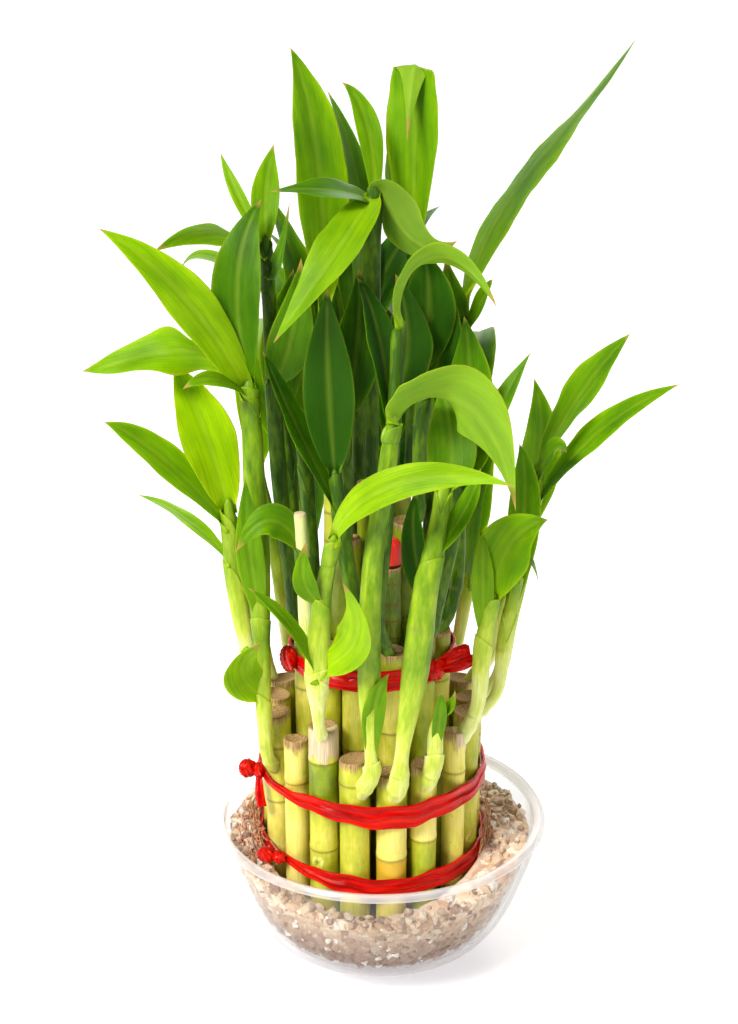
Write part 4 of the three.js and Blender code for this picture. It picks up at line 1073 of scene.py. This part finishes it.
def blade_frame(points, heading, turn, t):
    """The blade's centre, its direction across and its upper direction at t: a level direction square to the
    heading is made square to the midrib, and both are turned about it."""
    ahead, behind = np.minimum(t + MIDRIB_STEP, 1), np.maximum(t - MIDRIB_STEP, 0)
    tangent = unit(midrib_points(points, ahead) - midrib_points(points, behind))
    side = np.array([-np.sin(np.radians(heading)), np.cos(np.radians(heading)), 0])
    across = unit(side - tangent * (tangent @ side)[:, None])
    over = np.cross(tangent, across)
    angle = np.radians(np.interp(t, (0, 1), np.broadcast_to(turn, 2)))[:, None]
    return (
        midrib_points(points, t), across * np.cos(angle) + over * np.sin(angle),
        over * np.cos(angle) - across * np.sin(angle),
    )


def blade_part(points, width, heading, turn, clasp, lime, seed):
    """One leaf blade as a thin closed skin. Round each section the angle runs from one edge over the upper
    face to the other edge and back under. Half width times the share gives the outline; the edges lift by a
    fold and a slow wave; the midrib is a groove above and a keel below; at its base the blade curls round the
    stem."""
    t = np.concatenate([np.linspace(0, 0.12, 9)[:-1], np.linspace(0.12, 0.992, BLADE_STATIONS - 8)])
    centre, across, over = blade_frame(points, heading, turn, t)
    angle = full_turn(BLADE_AROUND)
    s, upper, t = np.cos(angle), np.sin(angle), t[:, None]
    length = way_along(midrib_points(points, np.linspace(0, 1, 30)))[-1]
    half = 0.5 * width * blade_share(t)
    aside = s * half
    wave = 0.075 * half * np.sin(2 * np.pi * t * (1.3 + length / 70) + 7 * seed) * np.sign(s) * np.abs(s) ** 3
    ripple = 0.02 * half * np.sin(2 * np.pi * t * length / 11 + 3 * seed + 2 * s) * np.abs(s) ** 4
    lift = BLADE_FOLD * half * np.abs(s) ** 1.3 + (wave + ripple) * smooth_step(t, 0.08, 0.3)
    midrib = bell(aside, MIDRIB_HALF_WIDTH) * smooth_step(half, 0.6, 2.5)
    thick = BLADE_THICKNESS + MIDRIB_KEEL * midrib * (upper < 0) + 0.10 * (1 - s**2)
    thick = thick * np.minimum(1, half / 1.5 + 0.2)
    lift = lift + upper * thick - 0.16 * midrib
    curl = bell(t, 0.055)
    bend = s * 1.9
    aside = aside + curl * ((clasp + 0.25 + 0.3 * upper) * np.sin(bend) - aside)
    lift = lift + curl * (-(clasp + 0.25 - 0.3 * upper) * np.cos(bend) - lift)
    rings = centre[:, None] + across[:, None] * aside[..., None] + over[:, None] * lift[..., None]
    along = t * length + 0 * s
    return closed_part(
        rings, tip=points[-1], finish=2, grain=np.stack([s * half, 0 * along, along], -1),
        under=upper < -0.05, rim=smooth_step(np.abs(s), 0.93, 1.0) * smooth_step(half, 1, 3), mid=midrib,
        lime=lime, share=t, dry=smooth_step(along, length - 4 - 4 * abs(wobble(seed)), length),
    )


def turned_points(points, heading, yaw, pitch):
    """A blade's points tipped down by the pitch about the level line across its heading, then swung by the
    yaw about the upright, both through its base."""
    along, swing, tip_down = np.radians([heading, yaw, pitch])
    level = np.array([-np.sin(along), np.cos(along), 0])
    arms = points - points[0]
    arms = (
        arms * np.cos(tip_down) + np.cross(level, arms) * np.sin(tip_down)
        + level * (arms @ level)[:, None] * (1 - np.cos(tip_down))
    )
    x = arms[:, 0] * np.cos(swing) - arms[:, 1] * np.sin(swing)
    y = arms[:, 0] * np.sin(swing) + arms[:, 1] * np.cos(swing)
    return points[0] + np.stack([x, y, arms[:, 2]], -1)


def settled_blade(points, heading, corners):
    """The blade turned as the solid holds it: the turn that puts its tip on a corner of the solid, or None
    where the solid has no such blade."""
    for yaw in YAW_TURNS:
        for pitch in PITCH_TURNS:
            turned = turned_points(points, heading, yaw, pitch)
            if np.abs(corners - turned[-1]).sum(1).min() < TIP_MATCH:
                return turned, heading + yaw
    return None


def ruled_shoot(cane):
    """A shoot by rule: it leans outwards, and its blades arch to either side of the way out, away from the
    front."""
    height, lean, count = RULED_SHOOTS[cane["name"]]
    outward = cane["outward"]
    edge = cane["centre"] + outward * (cane["radius"] + (2.5 if cane["tier"] == "outer" else 1))
    share, girth = np.array(RULED_STEM).T
    rise = cane["top"] + (height - cane["top"]) * share
    path = np.column_stack([(edge + np.outer(share**2, outward * lean))[:, :2], rise, girth])
    away = np.degrees(np.arctan2(outward[1], outward[0]))
    off_back = (away - 90 + 180) % 360 - 180
    blades = []
    for i in range(count):
        seed = cane["number"] * 10 + i
        heading = 90 + 0.35 * off_back + (i - (count - 1) / 2) * 44 + 10 * wobble(seed)
        length = RULED_BLADE_LENGTH + 30 * abs(np.sin(np.radians(heading))) + 8 * wobble(seed + 400)
        steep, flat = RULED_BLADE_SLOPES
        slopes = np.radians([steep + 8 * wobble(seed + 500), flat + 24 * wobble(seed + 600)])
        way = np.array([np.cos(np.radians(heading)), np.sin(np.radians(heading)), 0])
        steps = [0.5 * length * (way * np.cos(slope) + [0, 0, np.sin(slope)]) for slope in slopes]
        place = 0.72 + 0.25 * i / (count - 1)
        width = RULED_BLADE_WIDTH + 2 * wobble(seed + 700)
        blades.append((place, width, heading, 12 * wobble(seed + 800), steps))
    return {"path": path, "blades": blades}


def grown_parts(cane):
    """Stem, clasping leaf bases and blades of a cane's shoot, or nothing for a cane without one. Most blades
    are mid green, those at the left are more lime, and leaves and stems deep in the bundle are darkened with
    painted shade."""
    ruled = cane["name"] in RULED_SHOOTS
    shoot = ruled_shoot(cane) if ruled else SHOOTS.get(cane["name"])
    if shoot is None:
        return []
    cad_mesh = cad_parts[cane["name"]].data
    corners = np.zeros(3 * len(cad_mesh.vertices))
    cad_mesh.vertices.foreach_get("co", corners)
    corners = corners.reshape(-1, 3) / MILLIMETRE
    outer = cane["tier"] == "outer"
    # Stems of the middle and inner canes get a low tone, dark green: painted shade deep in the bundle.
    tone = 0.08 if not outer else 0.6 if "foot" in shoot else 0.75
    path, girth = np.split(np.array(shoot["path"], float), [3], axis=1)
    girth = girth.ravel()
    stem = stem_points(cane, path, shoot.get("foot", cane["top"] + (-1 if outer else 3)))
    parts = stem_parts(stem, girth, shoot.get("blunt", False), cane["number"], tone)
    for i, (place, width, heading, turn, rest, *own_lime) in enumerate(shoot["blades"]):
        points = np.vstack([along_spline(stem, np.array([place])), rest])
        if ruled:
            points = np.cumsum(points, axis=0)
        settled = settled_blade(points, heading, corners)
        if settled is None:
            continue
        points, heading = settled
        seed = cane["number"] * 7 + i
        clasp = stem_radius(girth, np.array(place))
        x, y, z = points.mean(0)
        # deep darkens leaves inside the bundle: painted shade.
        deep = smooth_step(y, -36, -24) * (1 - smooth_step(z, 258, 280))
        deep = deep * (1 - smooth_step(abs(x - BUNDLE_X), 20, 38))
        lime = 0.38 - 0.38 * deep + 0.16 * smooth_step(-x, 35, 60) + 0.08 * wobble(seed + 30)
        lime = own_lime[0] if own_lime else lime
        parts.append(blade_part(points, width, heading, turn, clasp, lime, seed))
        collar = COLLAR_LENGTH + 3 * wobble(seed + 5)
        parts.append(clasping_base(stem, girth, place, points[1], collar, tone))
    return parts


def shoot_skin():
    """Stem and leaf base skin: whitish green low down, green higher up, with fine lengthwise lines, thin
    brown leaf scars and a brown dry cut."""
    skin = new_finish("shoot_skin", {
        "Specular IOR Level": 0.25, "Subsurface Weight": 0.12, "Subsurface Radius": (0.6, 0.8, 0.1),
        "Subsurface Scale": 0.0015,
    })
    grain = trait_of(skin, "grain")
    line = speckle(skin, grain, (1, 1, 0.03), 2.6, 3.0)
    patch = speckle(skin, grain, (1, 1, 0.3), 0.22, 3.0)
    pale = added(skin, trait_of(skin, "pale"), spread(skin, patch, 0.3, 0.7, -0.2, 0.2))
    # The darkest steps here also serve as painted shade on stems deep in the bundle.
    fresh = colour_steps(skin, pale, [
        (0.0, (0.03, 0.085, 0.001, 1)), (0.25, (0.17, 0.31, 0.003, 1)), (0.5, (0.37, 0.50, 0.02, 1)),
        (0.75, (0.60, 0.68, 0.08, 1)), (1.0, (0.80, 0.82, 0.34, 1)),
    ])
    dried = layered(
        skin, fresh, (line, 0.42, 0.7, 0.3, (0.12, 0.26, 0.01, 1)),
        (trait_of(skin, "scar"), 0.1, 1.0, 0.7, (0.25, 0.17, 0.05, 1)),
        (trait_of(skin, "dry"), 0.3, 1.0, 1, (0.66, 0.52, 0.28, 1)),
    )
    feed(
        skin, Base_Color=dried, Roughness=spread(skin, line, 0.3, 0.7, 0.32, 0.5),
        Normal=relief(skin, line, 0.00015, 0.8),
    )
    return skin


def leaf_blade():
    """Leaf blade: deep green to lime with fine parallel veins, a paler midrib and hairline margin, a dull
    paler underside and a brown withered tip. Light passes into it."""
    leaf = new_finish("leaf_blade", {
        "Specular IOR Level": 0.2, "Specular Tint": (0.75, 1.0, 0.35, 1), "Subsurface Weight": 0.35,
        "Subsurface Radius": (0.7, 1.0, 0.05), "Subsurface Scale": 0.002,
    })
    grain = trait_of(leaf, "grain")
    vein = speckle(leaf, grain, (1, 1, 0.012), 2.2, 4.0, 0.7)
    bloom = speckle(leaf, grain, (1, 1, 0.25), 0.12, 3.0)
    under = trait_of(leaf, "under")
    lime = added(leaf, trait_of(leaf, "lime"), spread(leaf, bloom, 0.3, 0.7, -0.16, 0.16))
    lime = added(leaf, lime, spread(leaf, trait_of(leaf, "share"), 0.0, 0.35, 0.22, 0.0))
    # The darkest steps here also serve as painted shade on leaves deep in the bundle.
    fresh = colour_steps(leaf, lime, [
        (0.0, (0.014, 0.065, 0.001, 1)), (0.3, (0.070, 0.185, 0.001, 1)), (0.6, (0.20, 0.37, 0.001, 1)),
        (0.85, (0.37, 0.58, 0.002, 1)), (1.0, (0.50, 0.70, 0.01, 1)),
    ])
    wilt = added(leaf, trait_of(leaf, "dry"), spread(leaf, vein, 0.3, 0.7, -0.25, 0.15))
    tipped = layered(
        leaf, fresh, (vein, 0.42, 0.66, 0.28, (0.02, 0.085, 0.001, 1)),
        (trait_of(leaf, "mid"), 0.3, 1.0, 0.14, (0.45, 0.62, 0.05, 1)),
        (under, 0.3, 0.7, 0.25, (0.40, 0.58, 0.06, 1)),
        (trait_of(leaf, "rim"), 0.2, 1.0, 0.14, (0.45, 0.62, 0.05, 1)),
        (wilt, 0.25, 0.8, 1, (0.33, 0.20, 0.05, 1)),
    )
    rough = added(leaf, spread(leaf, vein, 0.3, 0.7, 0.34, 0.46), spread(leaf, under, 0.3, 0.7, 0, 0.22))
    feed(leaf, Base_Color=tipped, Roughness=rough, Normal=relief(leaf, vein, 0.00022, 0.7))
    return leaf


canes = all_canes()
plant_finishes = [cane_skin(), shoot_skin(), leaf_blade()]
for cane in canes:
    make_piece(
        cane["name"].replace("cane", "bamboo"), [cane_part(cane), *grown_parts(cane)], plant_finishes,
        [cane["name"]],
    )


# Fine reddish roots, which grow from the feet of the outer canes over the foot ribbon, and lie tangled on the
# stones at both sides and behind. Each is a thin tube. A few at the right are bare and white.

# A bunch: the span of degrees round from the front, how many roots, how far they reach, how high they heap up
# at the canes, and whether they are bare
ROOT_BUNCHES = [
    (69, 100, 90, 5, 12, 0), (-114, -58, 230, 9, 11, 0), (150, 215, 60, 8, 8, 0), (72, 96, 5, 12, 9, 1),
]
ROOT_STEP = (2.6, 1.0, 1.5)
ROOT_FEET = 44.4
ROOT_TURN = 50
ROOT_LENGTH = 25
ROOT_GIRTH = (0.24, 0.1)
ROOT_AROUND = 5
ROOT_STATIONS = 14
ROOT_JOINTS = 5


def root_parts():
    """Tubes on crooked curves: each starts somewhere in the heap, and goes on by random steps round the tier,
    outwards and down."""
    parts = []
    for low, high, count, reach, heap, pale in ROOT_BUNCHES:
        for _ in range(count):
            degrees = random.uniform(low, high)
            out = reach * random.uniform(0, 1) ** 1.6
            heaped = heap * random.uniform(0.1, 1) * (1 - out / reach) ** 1.4
            height = bed_top(np.radians(degrees - 90)) + heaped
            steps = np.abs(random.normal(size=(3, ROOT_JOINTS)))
            round_step, out_step, down_step = steps * np.array(ROOT_STEP)[:, None]
            round_step = round_step * random.choice([-1, 1]) * random.choice([1, 1, -1], ROOT_JOINTS)
            turns = degrees + np.degrees(np.cumsum(round_step) / ROOT_TURN)
            outs = ROOT_FEET + np.minimum(out + np.cumsum(out_step) * (0.3 + pale), reach + 2 * pale)
            heights = height + 1.5 - np.cumsum(down_step)
            points = [round_tier(*place) for place in zip(outs, turns, heights)]
            share = np.linspace(0, 1, ROOT_STATIONS)[:, None]
            angle = full_turn(ROOT_AROUND)
            girth = np.interp(share, (0, 1), ROOT_GIRTH)
            rings = tube_rings(points, share, angle, girth)
            parts.append(closed_part(rings, grain=round_points(girth, angle, share * ROOT_LENGTH), pale=pale))
    return parts


def root_skin():
    """Root skin: orange brown, paler and redder in turns, with a fine fuzz."""
    skin = new_finish("root_skin", {"Roughness": 0.6})
    grain = trait_of(skin, "grain")
    turns = speckle(skin, grain, (1, 1, 0.4), 0.9, 3.0)
    fuzz = speckle(skin, grain, (1, 1, 0.3), 6.0, 3.0)
    tone = colour_steps(skin, spread(skin, turns, 0.3, 0.7), [
        (0.0, (0.30, 0.09, 0.035, 1)), (0.5, (0.54, 0.24, 0.11, 1)), (1.0, (0.78, 0.52, 0.34, 1)),
    ])
    bare = blend(skin, trait_of(skin, "pale"), tone, (0.74, 0.68, 0.56, 1))
    feed(skin, Base_Color=bare, Normal=relief(skin, fuzz, 0.0001, 0.8))
    return skin


make_piece("fine_roots", root_parts(), [root_skin()])


# The ribbons: strips of thin shiny red foil, each pulled tight round a tier, so that it creases lengthwise
# and sinks in between the canes. A band is a closed loop; its knots are lumps of pleated foil, and its ends
# stand free.

# A ribbon's rows: degrees round from the front, height of the foil's middle, and its width
FOOT_RIBBON = [
    (-180, 41.5, 6), (-100, 43, 4.5), (-45, 44.2, 3.2), (-30, 43, 5.2), (-14, 41.6, 7.8), (3, 40, 7.6),
    (20, 39.6, 7.4), (32, 40.3, 7.7), (60, 39.8, 7.2), (120, 41, 6.5), (180, 41.5, 6),
]
LOWER_RIBBON = [
    (-180, 70, 8), (-100, 71.5, 5), (-60, 72.2, 3.2), (-46, 72, 3.6), (-33, 72.2, 6), (-14, 70.7, 7.6),
    (3, 69.3, 9.3), (20, 68.8, 9.3), (32, 70.2, 8.6), (68, 69.9, 7.8), (120, 70, 8), (180, 70, 8),
]
UPPER_RIBBON = [
    (-180, 118, 8), (-66, 118, 6.5), (-30, 117.8, 8), (0, 117.6, 8.5), (40, 118, 7.5), (100, 118, 8),
    (180, 118, 8),
]
RIBBON_CLEARANCE = 0.5
RIBBON_AROUND = 420
SECTION_STEPS = 26
FOIL_THICKNESS = 0.3
BAND_SINK = 0.4
LUMP_ROWS = 30
LUMP_AROUND = 44
LUMP_POLE = 0.06
STRIP_ROWS = 26
STRIP_AROUND = 36

# A band's section, as how far out it stands and share of its width: its creased front from the top down, and
# its back
RIBBON_SECTION = [
    (0.35, 0.985), (1.1, 0.94), (0.8, 0.66), (1.65, 0.5), (0.9, 0.3), (1.25, 0.05), (0.35, 0.015),
]
RIBBON_BACK = [(0.02, 0.03), (0.0, 0.5), (0.02, 0.97)]


def ribbon_rows(rows, degrees):
    """Height of a ribbon's middle and its width at degrees round: eased by 3t^2 - 2t^3 between its rows."""
    rows = np.array(rows, float)
    after = np.clip(np.searchsorted(rows[:, 0], degrees, side="right"), 1, len(rows) - 1)
    low, high = rows[after - 1], rows[after]
    share = smooth_step((degrees - low[..., 0]) / (high[..., 0] - low[..., 0]), 0, 1)
    return tuple(low[..., column] + (high[..., column] - low[..., column]) * share for column in (1, 2))


def foil_band(envelope, ribbon, canes_round, seed):
    """Band as rings of its section, one for each angle. The outside follows two creases, which wander up and
    down; the band dips and narrows as it was pulled, and sinks in between the canes that it touches."""
    share = np.linspace(0, 1, SECTION_STEPS)
    out, rise = np.vstack([along_spline(RIBBON_SECTION, share), RIBBON_BACK]).T
    on_front = np.concatenate([np.sin(np.pi * share) ** 0.5, np.zeros(len(RIBBON_BACK))])
    angle = full_turn(RIBBON_AROUND).T
    middle, width = ribbon_rows(ribbon, (np.degrees(angle) + 90 + 180) % 360 - 180)
    wander = 0.07 * np.sin(5 * angle + seed) + 0.05 * np.sin(11 * angle + 2 * seed)
    moved = rise + wander * np.sin(np.pi * rise)
    pucker = (
        0.07 * np.sin(9 * angle + 11 * moved + seed) + 0.05 * np.sin(17 * angle - 17 * moved + 3 * seed)
        + 0.02 * np.sin(61 * angle + 21 * moved)
    )
    pitch = 2 * np.pi / canes_round
    half_way = (angle - np.pi / 2 + pitch / 2) % pitch - pitch / 2
    sink = BAND_SINK * (1 - np.cos(half_way * np.pi / pitch)) / (1 - np.cos(np.pi / 2))
    radius = envelope + RIBBON_CLEARANCE + out + on_front * (pucker - 0.05) - sink
    rings = round_points(radius, angle, middle + width * (moved - 0.5), BUNDLE_X)
    grain = np.stack(np.broadcast_arrays(out, width * rise, envelope * angle), -1)
    return closed_part(rings, looped=True, grain=grain)


def foil_lump(envelope, degrees, out, height, sizes, seed):
    """Knot: a round lump whose surface is pleated by waves that run from pole to pole, with finer creases."""
    polar = np.linspace(LUMP_POLE, np.pi - LUMP_POLE, LUMP_ROWS)[::-1, None]
    angle = full_turn(LUMP_AROUND)
    waves = 0.11 * np.sin(5 * angle + 2.2 * np.cos(polar) + seed)
    waves = waves + 0.07 * np.sin(9 * angle - 5 * polar + 2 * seed)
    pleats = 0.93 * (1 + waves * np.sin(polar) + 0.04 * np.sin(17 * angle + 11 * polar))
    across, outward, up = sizes
    x = across * pleats * np.sin(polar) * np.cos(angle)
    y = outward * pleats * np.sin(polar) * np.sin(angle)
    z = up * pleats * np.cos(polar)
    turn = np.radians(degrees)
    local = np.stack([x * np.cos(turn) - y * np.sin(turn), x * np.sin(turn) + y * np.cos(turn), z], -1)
    return closed_part(local + round_tier(envelope + out, degrees, height), grain=np.stack([x, y, z], -1))


def foil_strip(points, width, heading, turn, seed, narrow=0.55):
    """Free end of foil: a thin strip on a midrib curve, pleated by two sine waves across its width, with a
    ragged cut end."""
    t = np.linspace(0, 1, STRIP_ROWS)
    centre, across, over = blade_frame(np.asarray(points, float), heading, turn, t)
    angle = full_turn(STRIP_AROUND)
    s, t = np.cos(angle), t[:, None]
    half = 0.5 * width * (narrow + (1 - narrow) * np.sin(np.pi * np.minimum(1, t * 1.1 + 0.1) * 0.62))
    lift = 0.10 * width * np.sin(5.5 * s + seed + 2 * t) + 0.05 * width * np.sin(11 * s - 3 * t + 2 * seed)
    lift = lift + FOIL_THICKNESS * np.sin(angle)
    ragged = 0.08 * width * np.sin(7 * s + seed) * smooth_step(t, 0.7, 1)
    tangent = np.cross(across, over)
    aside = s * half
    rings = centre[:, None] + across[:, None] * aside[..., None] + over[:, None] * lift[..., None]
    rings = rings + tangent[:, None] * ragged[..., None]
    return closed_part(rings, grain=np.stack(np.broadcast_arrays(aside, lift, 40 * t), -1))


def red_foil():
    """Red foil: deep red, with painted orange-red highlights and painted shade where it folds, fine
    lengthwise creases darkened with painted shade, and a hard shine.
    """
    foil = new_finish("red_foil", {
        "Specular IOR Level": 0.4, "Specular Tint": (1.0, 0.22, 0.16, 1), "IOR": 1.45, "Coat Weight": 0.06,
        "Coat Roughness": 0.1,
    })
    grain = trait_of(foil, "grain")
    crease = speckle(foil, grain, (1, 1, 0.05), 1.1, 4.0)
    fold = speckle(foil, grain, (1, 1, 0.14), 0.4, 3.0)
    # The tone follows broad folds: painted orange-red highlights and painted dark shade.
    tone = colour_steps(foil, spread(foil, fold, 0.3, 0.7), [
        (0.0, (0.28, 0.001, 0.001, 1)), (0.45, (0.56, 0.002, 0.001, 1)), (1.0, (0.74, 0.012, 0.001, 1)),
    ])
    # The creases are darkened with painted shade.
    painted_fold_shading = layered(foil, tone, (crease, 0.48, 0.7, 0.65, (0.17, 0.001, 0.001, 1)))
    feed(
        foil, Base_Color=painted_fold_shading, Roughness=spread(foil, crease, 0.3, 0.7, 0.12, 0.3),
        Normal=relief(foil, crease, 0.0004, 0.6),
    )
    return foil


foil_finish = red_foil()
make_piece("foil_foot", [
    foil_band(ENVELOPES["outer"], FOOT_RIBBON, 18, 1),
    foil_lump(ENVELOPES["outer"], -50, 3.2, 45, (3.4, 2.6, 2.4), 1),
    foil_lump(ENVELOPES["outer"], -56, 5.6, 44.6, (4.2, 3.2, 3), 5),
], [foil_finish], ["ribbon_foot"])
make_piece("foil_lower", [
    foil_band(ENVELOPES["outer"], LOWER_RIBBON, 18, 2),
    foil_lump(ENVELOPES["outer"], -72, 2.6, 73.4, (3.2, 2.4, 3.2), 2),
    foil_lump(ENVELOPES["outer"], -75, 6.6, 73.6, (3.4, 3.6, 3.8), 6),
    foil_strip([(-45.6, -15.2, 72), (-45.5, -18.5, 67), (-44.5, -21.5, 62)], 4, 250, 0, 2),
], [foil_finish], ["ribbon_lower"])
make_piece("foil_upper", [
    foil_band(ENVELOPES["middle"], UPPER_RIBBON, 12, 3),
    foil_lump(ENVELOPES["middle"], -66, 3.8, 119.5, (5, 3, 5.2), 3),
    foil_lump(ENVELOPES["middle"], 46, 3, 119, (5, 2.2, 4.2), 4),
    foil_strip([(22.8, -21.8, 120), (28, -23, 123), (33, -22.5, 125)], 9, 0, 60, 3),
], [foil_finish], ["ribbon_upper"])


# The wax cap: red wax that the thin inner cane was dipped in, set as a rounded cap with a wavy lower edge.
WAX_LENGTH = 10
WAX_OVERHANG = 0.5
WAX_AROUND = 48
WAX_ROWS = 40
WAX_PROFILE = [(0.94, 0), (1.0, 0.06), (0.99, 0.3), (0.93, 0.58), (0.76, 0.82), (0.42, 0.96), (0.1, 0.995)]


def wax_part(cane):
    """The cap as a turned profile of (share of radius, share of height), swollen by slow runs of wax."""
    low = cane["top"] + CUT_SLOPE + CLEARANCE
    radius = cane["radius"] + WAX_OVERHANG
    profile = along_spline(WAX_PROFILE, np.linspace(0, 1, WAX_ROWS))
    rings = turned_rings(profile * [radius, WAX_LENGTH], WAX_AROUND)
    angle = full_turn(WAX_AROUND)
    runs = 1 + 0.035 * np.sin(3 * angle + 1) + 0.02 * np.sin(7 * angle + 4 * profile[:, 1:])
    rings[..., :2] *= (runs * 0.97)[..., None]
    return closed_part(rings + cane["centre"] + [0, 0, low], tip=cane["centre"] + [0, 0, low + WAX_LENGTH])


def red_wax():
    """Red sealing wax: even bright red, slightly cloudy, with soft dimples."""
    wax = new_finish("red_wax", {
        "Subsurface Weight": 0.2, "Subsurface Radius": (1.0, 0.2, 0.1), "Subsurface Scale": 0.001,
    })
    place = object_place(wax)
    cloud = speckle(wax, place, (1, 1, 0.6), 260.0, 3.0)
    tone = blend(wax, cloud, (0.52, 0.006, 0.006, 1), (0.80, 0.03, 0.015, 1))
    feed(
        wax, Base_Color=tone, Roughness=spread(wax, cloud, 0.3, 0.7, 0.24, 0.42),
        Normal=relief(wax, cloud, 0.0005, 0.5),
    )
    return wax


thin_cane = next(cane for cane in canes if cane["name"] == "cane_inner_01")
make_piece("sealing_wax", [wax_part(thin_cane)], [red_wax()], ["wax_cap"])


# The studio: a white sweep that curves up behind, a wide soft lamp high at the left, a weaker one at the
# right and one behind, and a camera that looks slightly down from the front.
SWEEP = [(-2.4, 0), (0.9, 0), (1.5, 0.12), (1.75, 0.6), (1.8, 2.4)]
SWEEP_HALF_WIDTH = 3.0
SWEEP_ROWS = 60
SWEEP_GLOW = 0.35
WORLD_LIGHT = 0.2
LAMPS = [
    ("lamp_left", (-0.75, -0.85, 1.15), 0.5, 31), ("lamp_right", (1.1, -0.7, 0.7), 0.8, 4),
    ("lamp_behind", (0.3, 1.0, 1.1), 0.8, 8),
]
LAMP_AIM = (0, 0, 0.15)
CAMERA_PLACE = (-0.004, -0.5265, 0.3434)
CAMERA_PITCH = 18.02
CAMERA_LENS = 52.73
CAMERA_SENSOR = 36


def white_sweep():
    """Paper sheet, metres in size: the curve of (depth, height) carried sideways."""
    curve = along_spline(SWEEP, np.linspace(0, 1, SWEEP_ROWS))
    side = np.linspace(-SWEEP_HALF_WIDTH, SWEEP_HALF_WIDTH, 3)
    points = np.stack(np.broadcast_arrays(side, curve[:, :1], curve[:, 1:]), -1).reshape(-1, 3)
    start = (np.arange(SWEEP_ROWS - 1)[:, None] * 3 + np.arange(2)).ravel()
    faces = np.stack([start, start + 1, start + 4, start + 3], -1)
    mesh = bpy.data.meshes.new("white_sweep")
    mesh.from_pydata(points.tolist(), [], faces.tolist())
    mesh.polygons.foreach_set("use_smooth", np.ones(len(faces), bool))
    paper = new_finish("white_paper", {
        "Roughness": 0.8, "Emission Color": (1, 1, 1, 1), "Emission Strength": SWEEP_GLOW,
        "Specular IOR Level": 0.1,
    })
    place = object_place(paper)
    tooth = speckle(paper, place, (1, 1, 1), 60.0, 4.0)
    feed(paper, Base_Color=blend(paper, tooth, (0.93, 0.93, 0.925, 1), (0.96, 0.96, 0.955, 1)))
    mesh.materials.append(paper)
    sweep = bpy.data.objects.new("white_sweep", mesh)
    bpy.context.scene.collection.objects.link(sweep)


def soft_room():
    """World that is white to the camera and gives a dim even light to everything else."""
    world = bpy.data.worlds.new("soft_room")
    world.use_nodes = True
    nodes, links = world.node_tree.nodes, world.node_tree.links
    nodes["Background"].inputs["Color"].default_value = (1, 1, 1, 1)
    nodes["Background"].inputs["Strength"].default_value = WORLD_LIGHT
    seen = nodes.new("ShaderNodeBackground")
    seen.inputs["Color"].default_value = (1, 1, 1, 1)
    mixed = nodes.new("ShaderNodeMixShader")
    links.new(nodes.new("ShaderNodeLightPath").outputs["Is Camera Ray"], mixed.inputs[0])
    links.new(nodes["Background"].outputs[0], mixed.inputs[1])
    links.new(seen.outputs[0], mixed.inputs[2])
    links.new(mixed.outputs[0], nodes["World Output"].inputs["Surface"])
    return world


def aimed(thing, place, target):
    """Puts a lamp at its place and points it at the target."""
    thing.location = place
    thing.rotation_euler = (Vector(target) - Vector(place)).to_track_quat("-Z", "Y").to_euler()
    bpy.context.scene.collection.objects.link(thing)


white_sweep()
for name, place, size, power in LAMPS:
    lamp = bpy.data.lights.new(name, "AREA")
    lamp.size = size
    lamp.energy = power
    aimed(bpy.data.objects.new(name, lamp), place, LAMP_AIM)
scene = bpy.context.scene
scene.world = soft_room()
scene.view_settings.view_transform = "Standard"
camera = bpy.data.cameras.new("front_camera")
camera.lens = CAMERA_LENS
camera.sensor_width = CAMERA_SENSOR
camera.clip_start = 0.01
viewpoint = bpy.data.objects.new("front_camera", camera)
viewpoint.location = CAMERA_PLACE
viewpoint.rotation_euler = (np.radians(90 - CAMERA_PITCH), 0, 0)
scene.collection.objects.link(viewpoint)
scene.camera = viewpoint
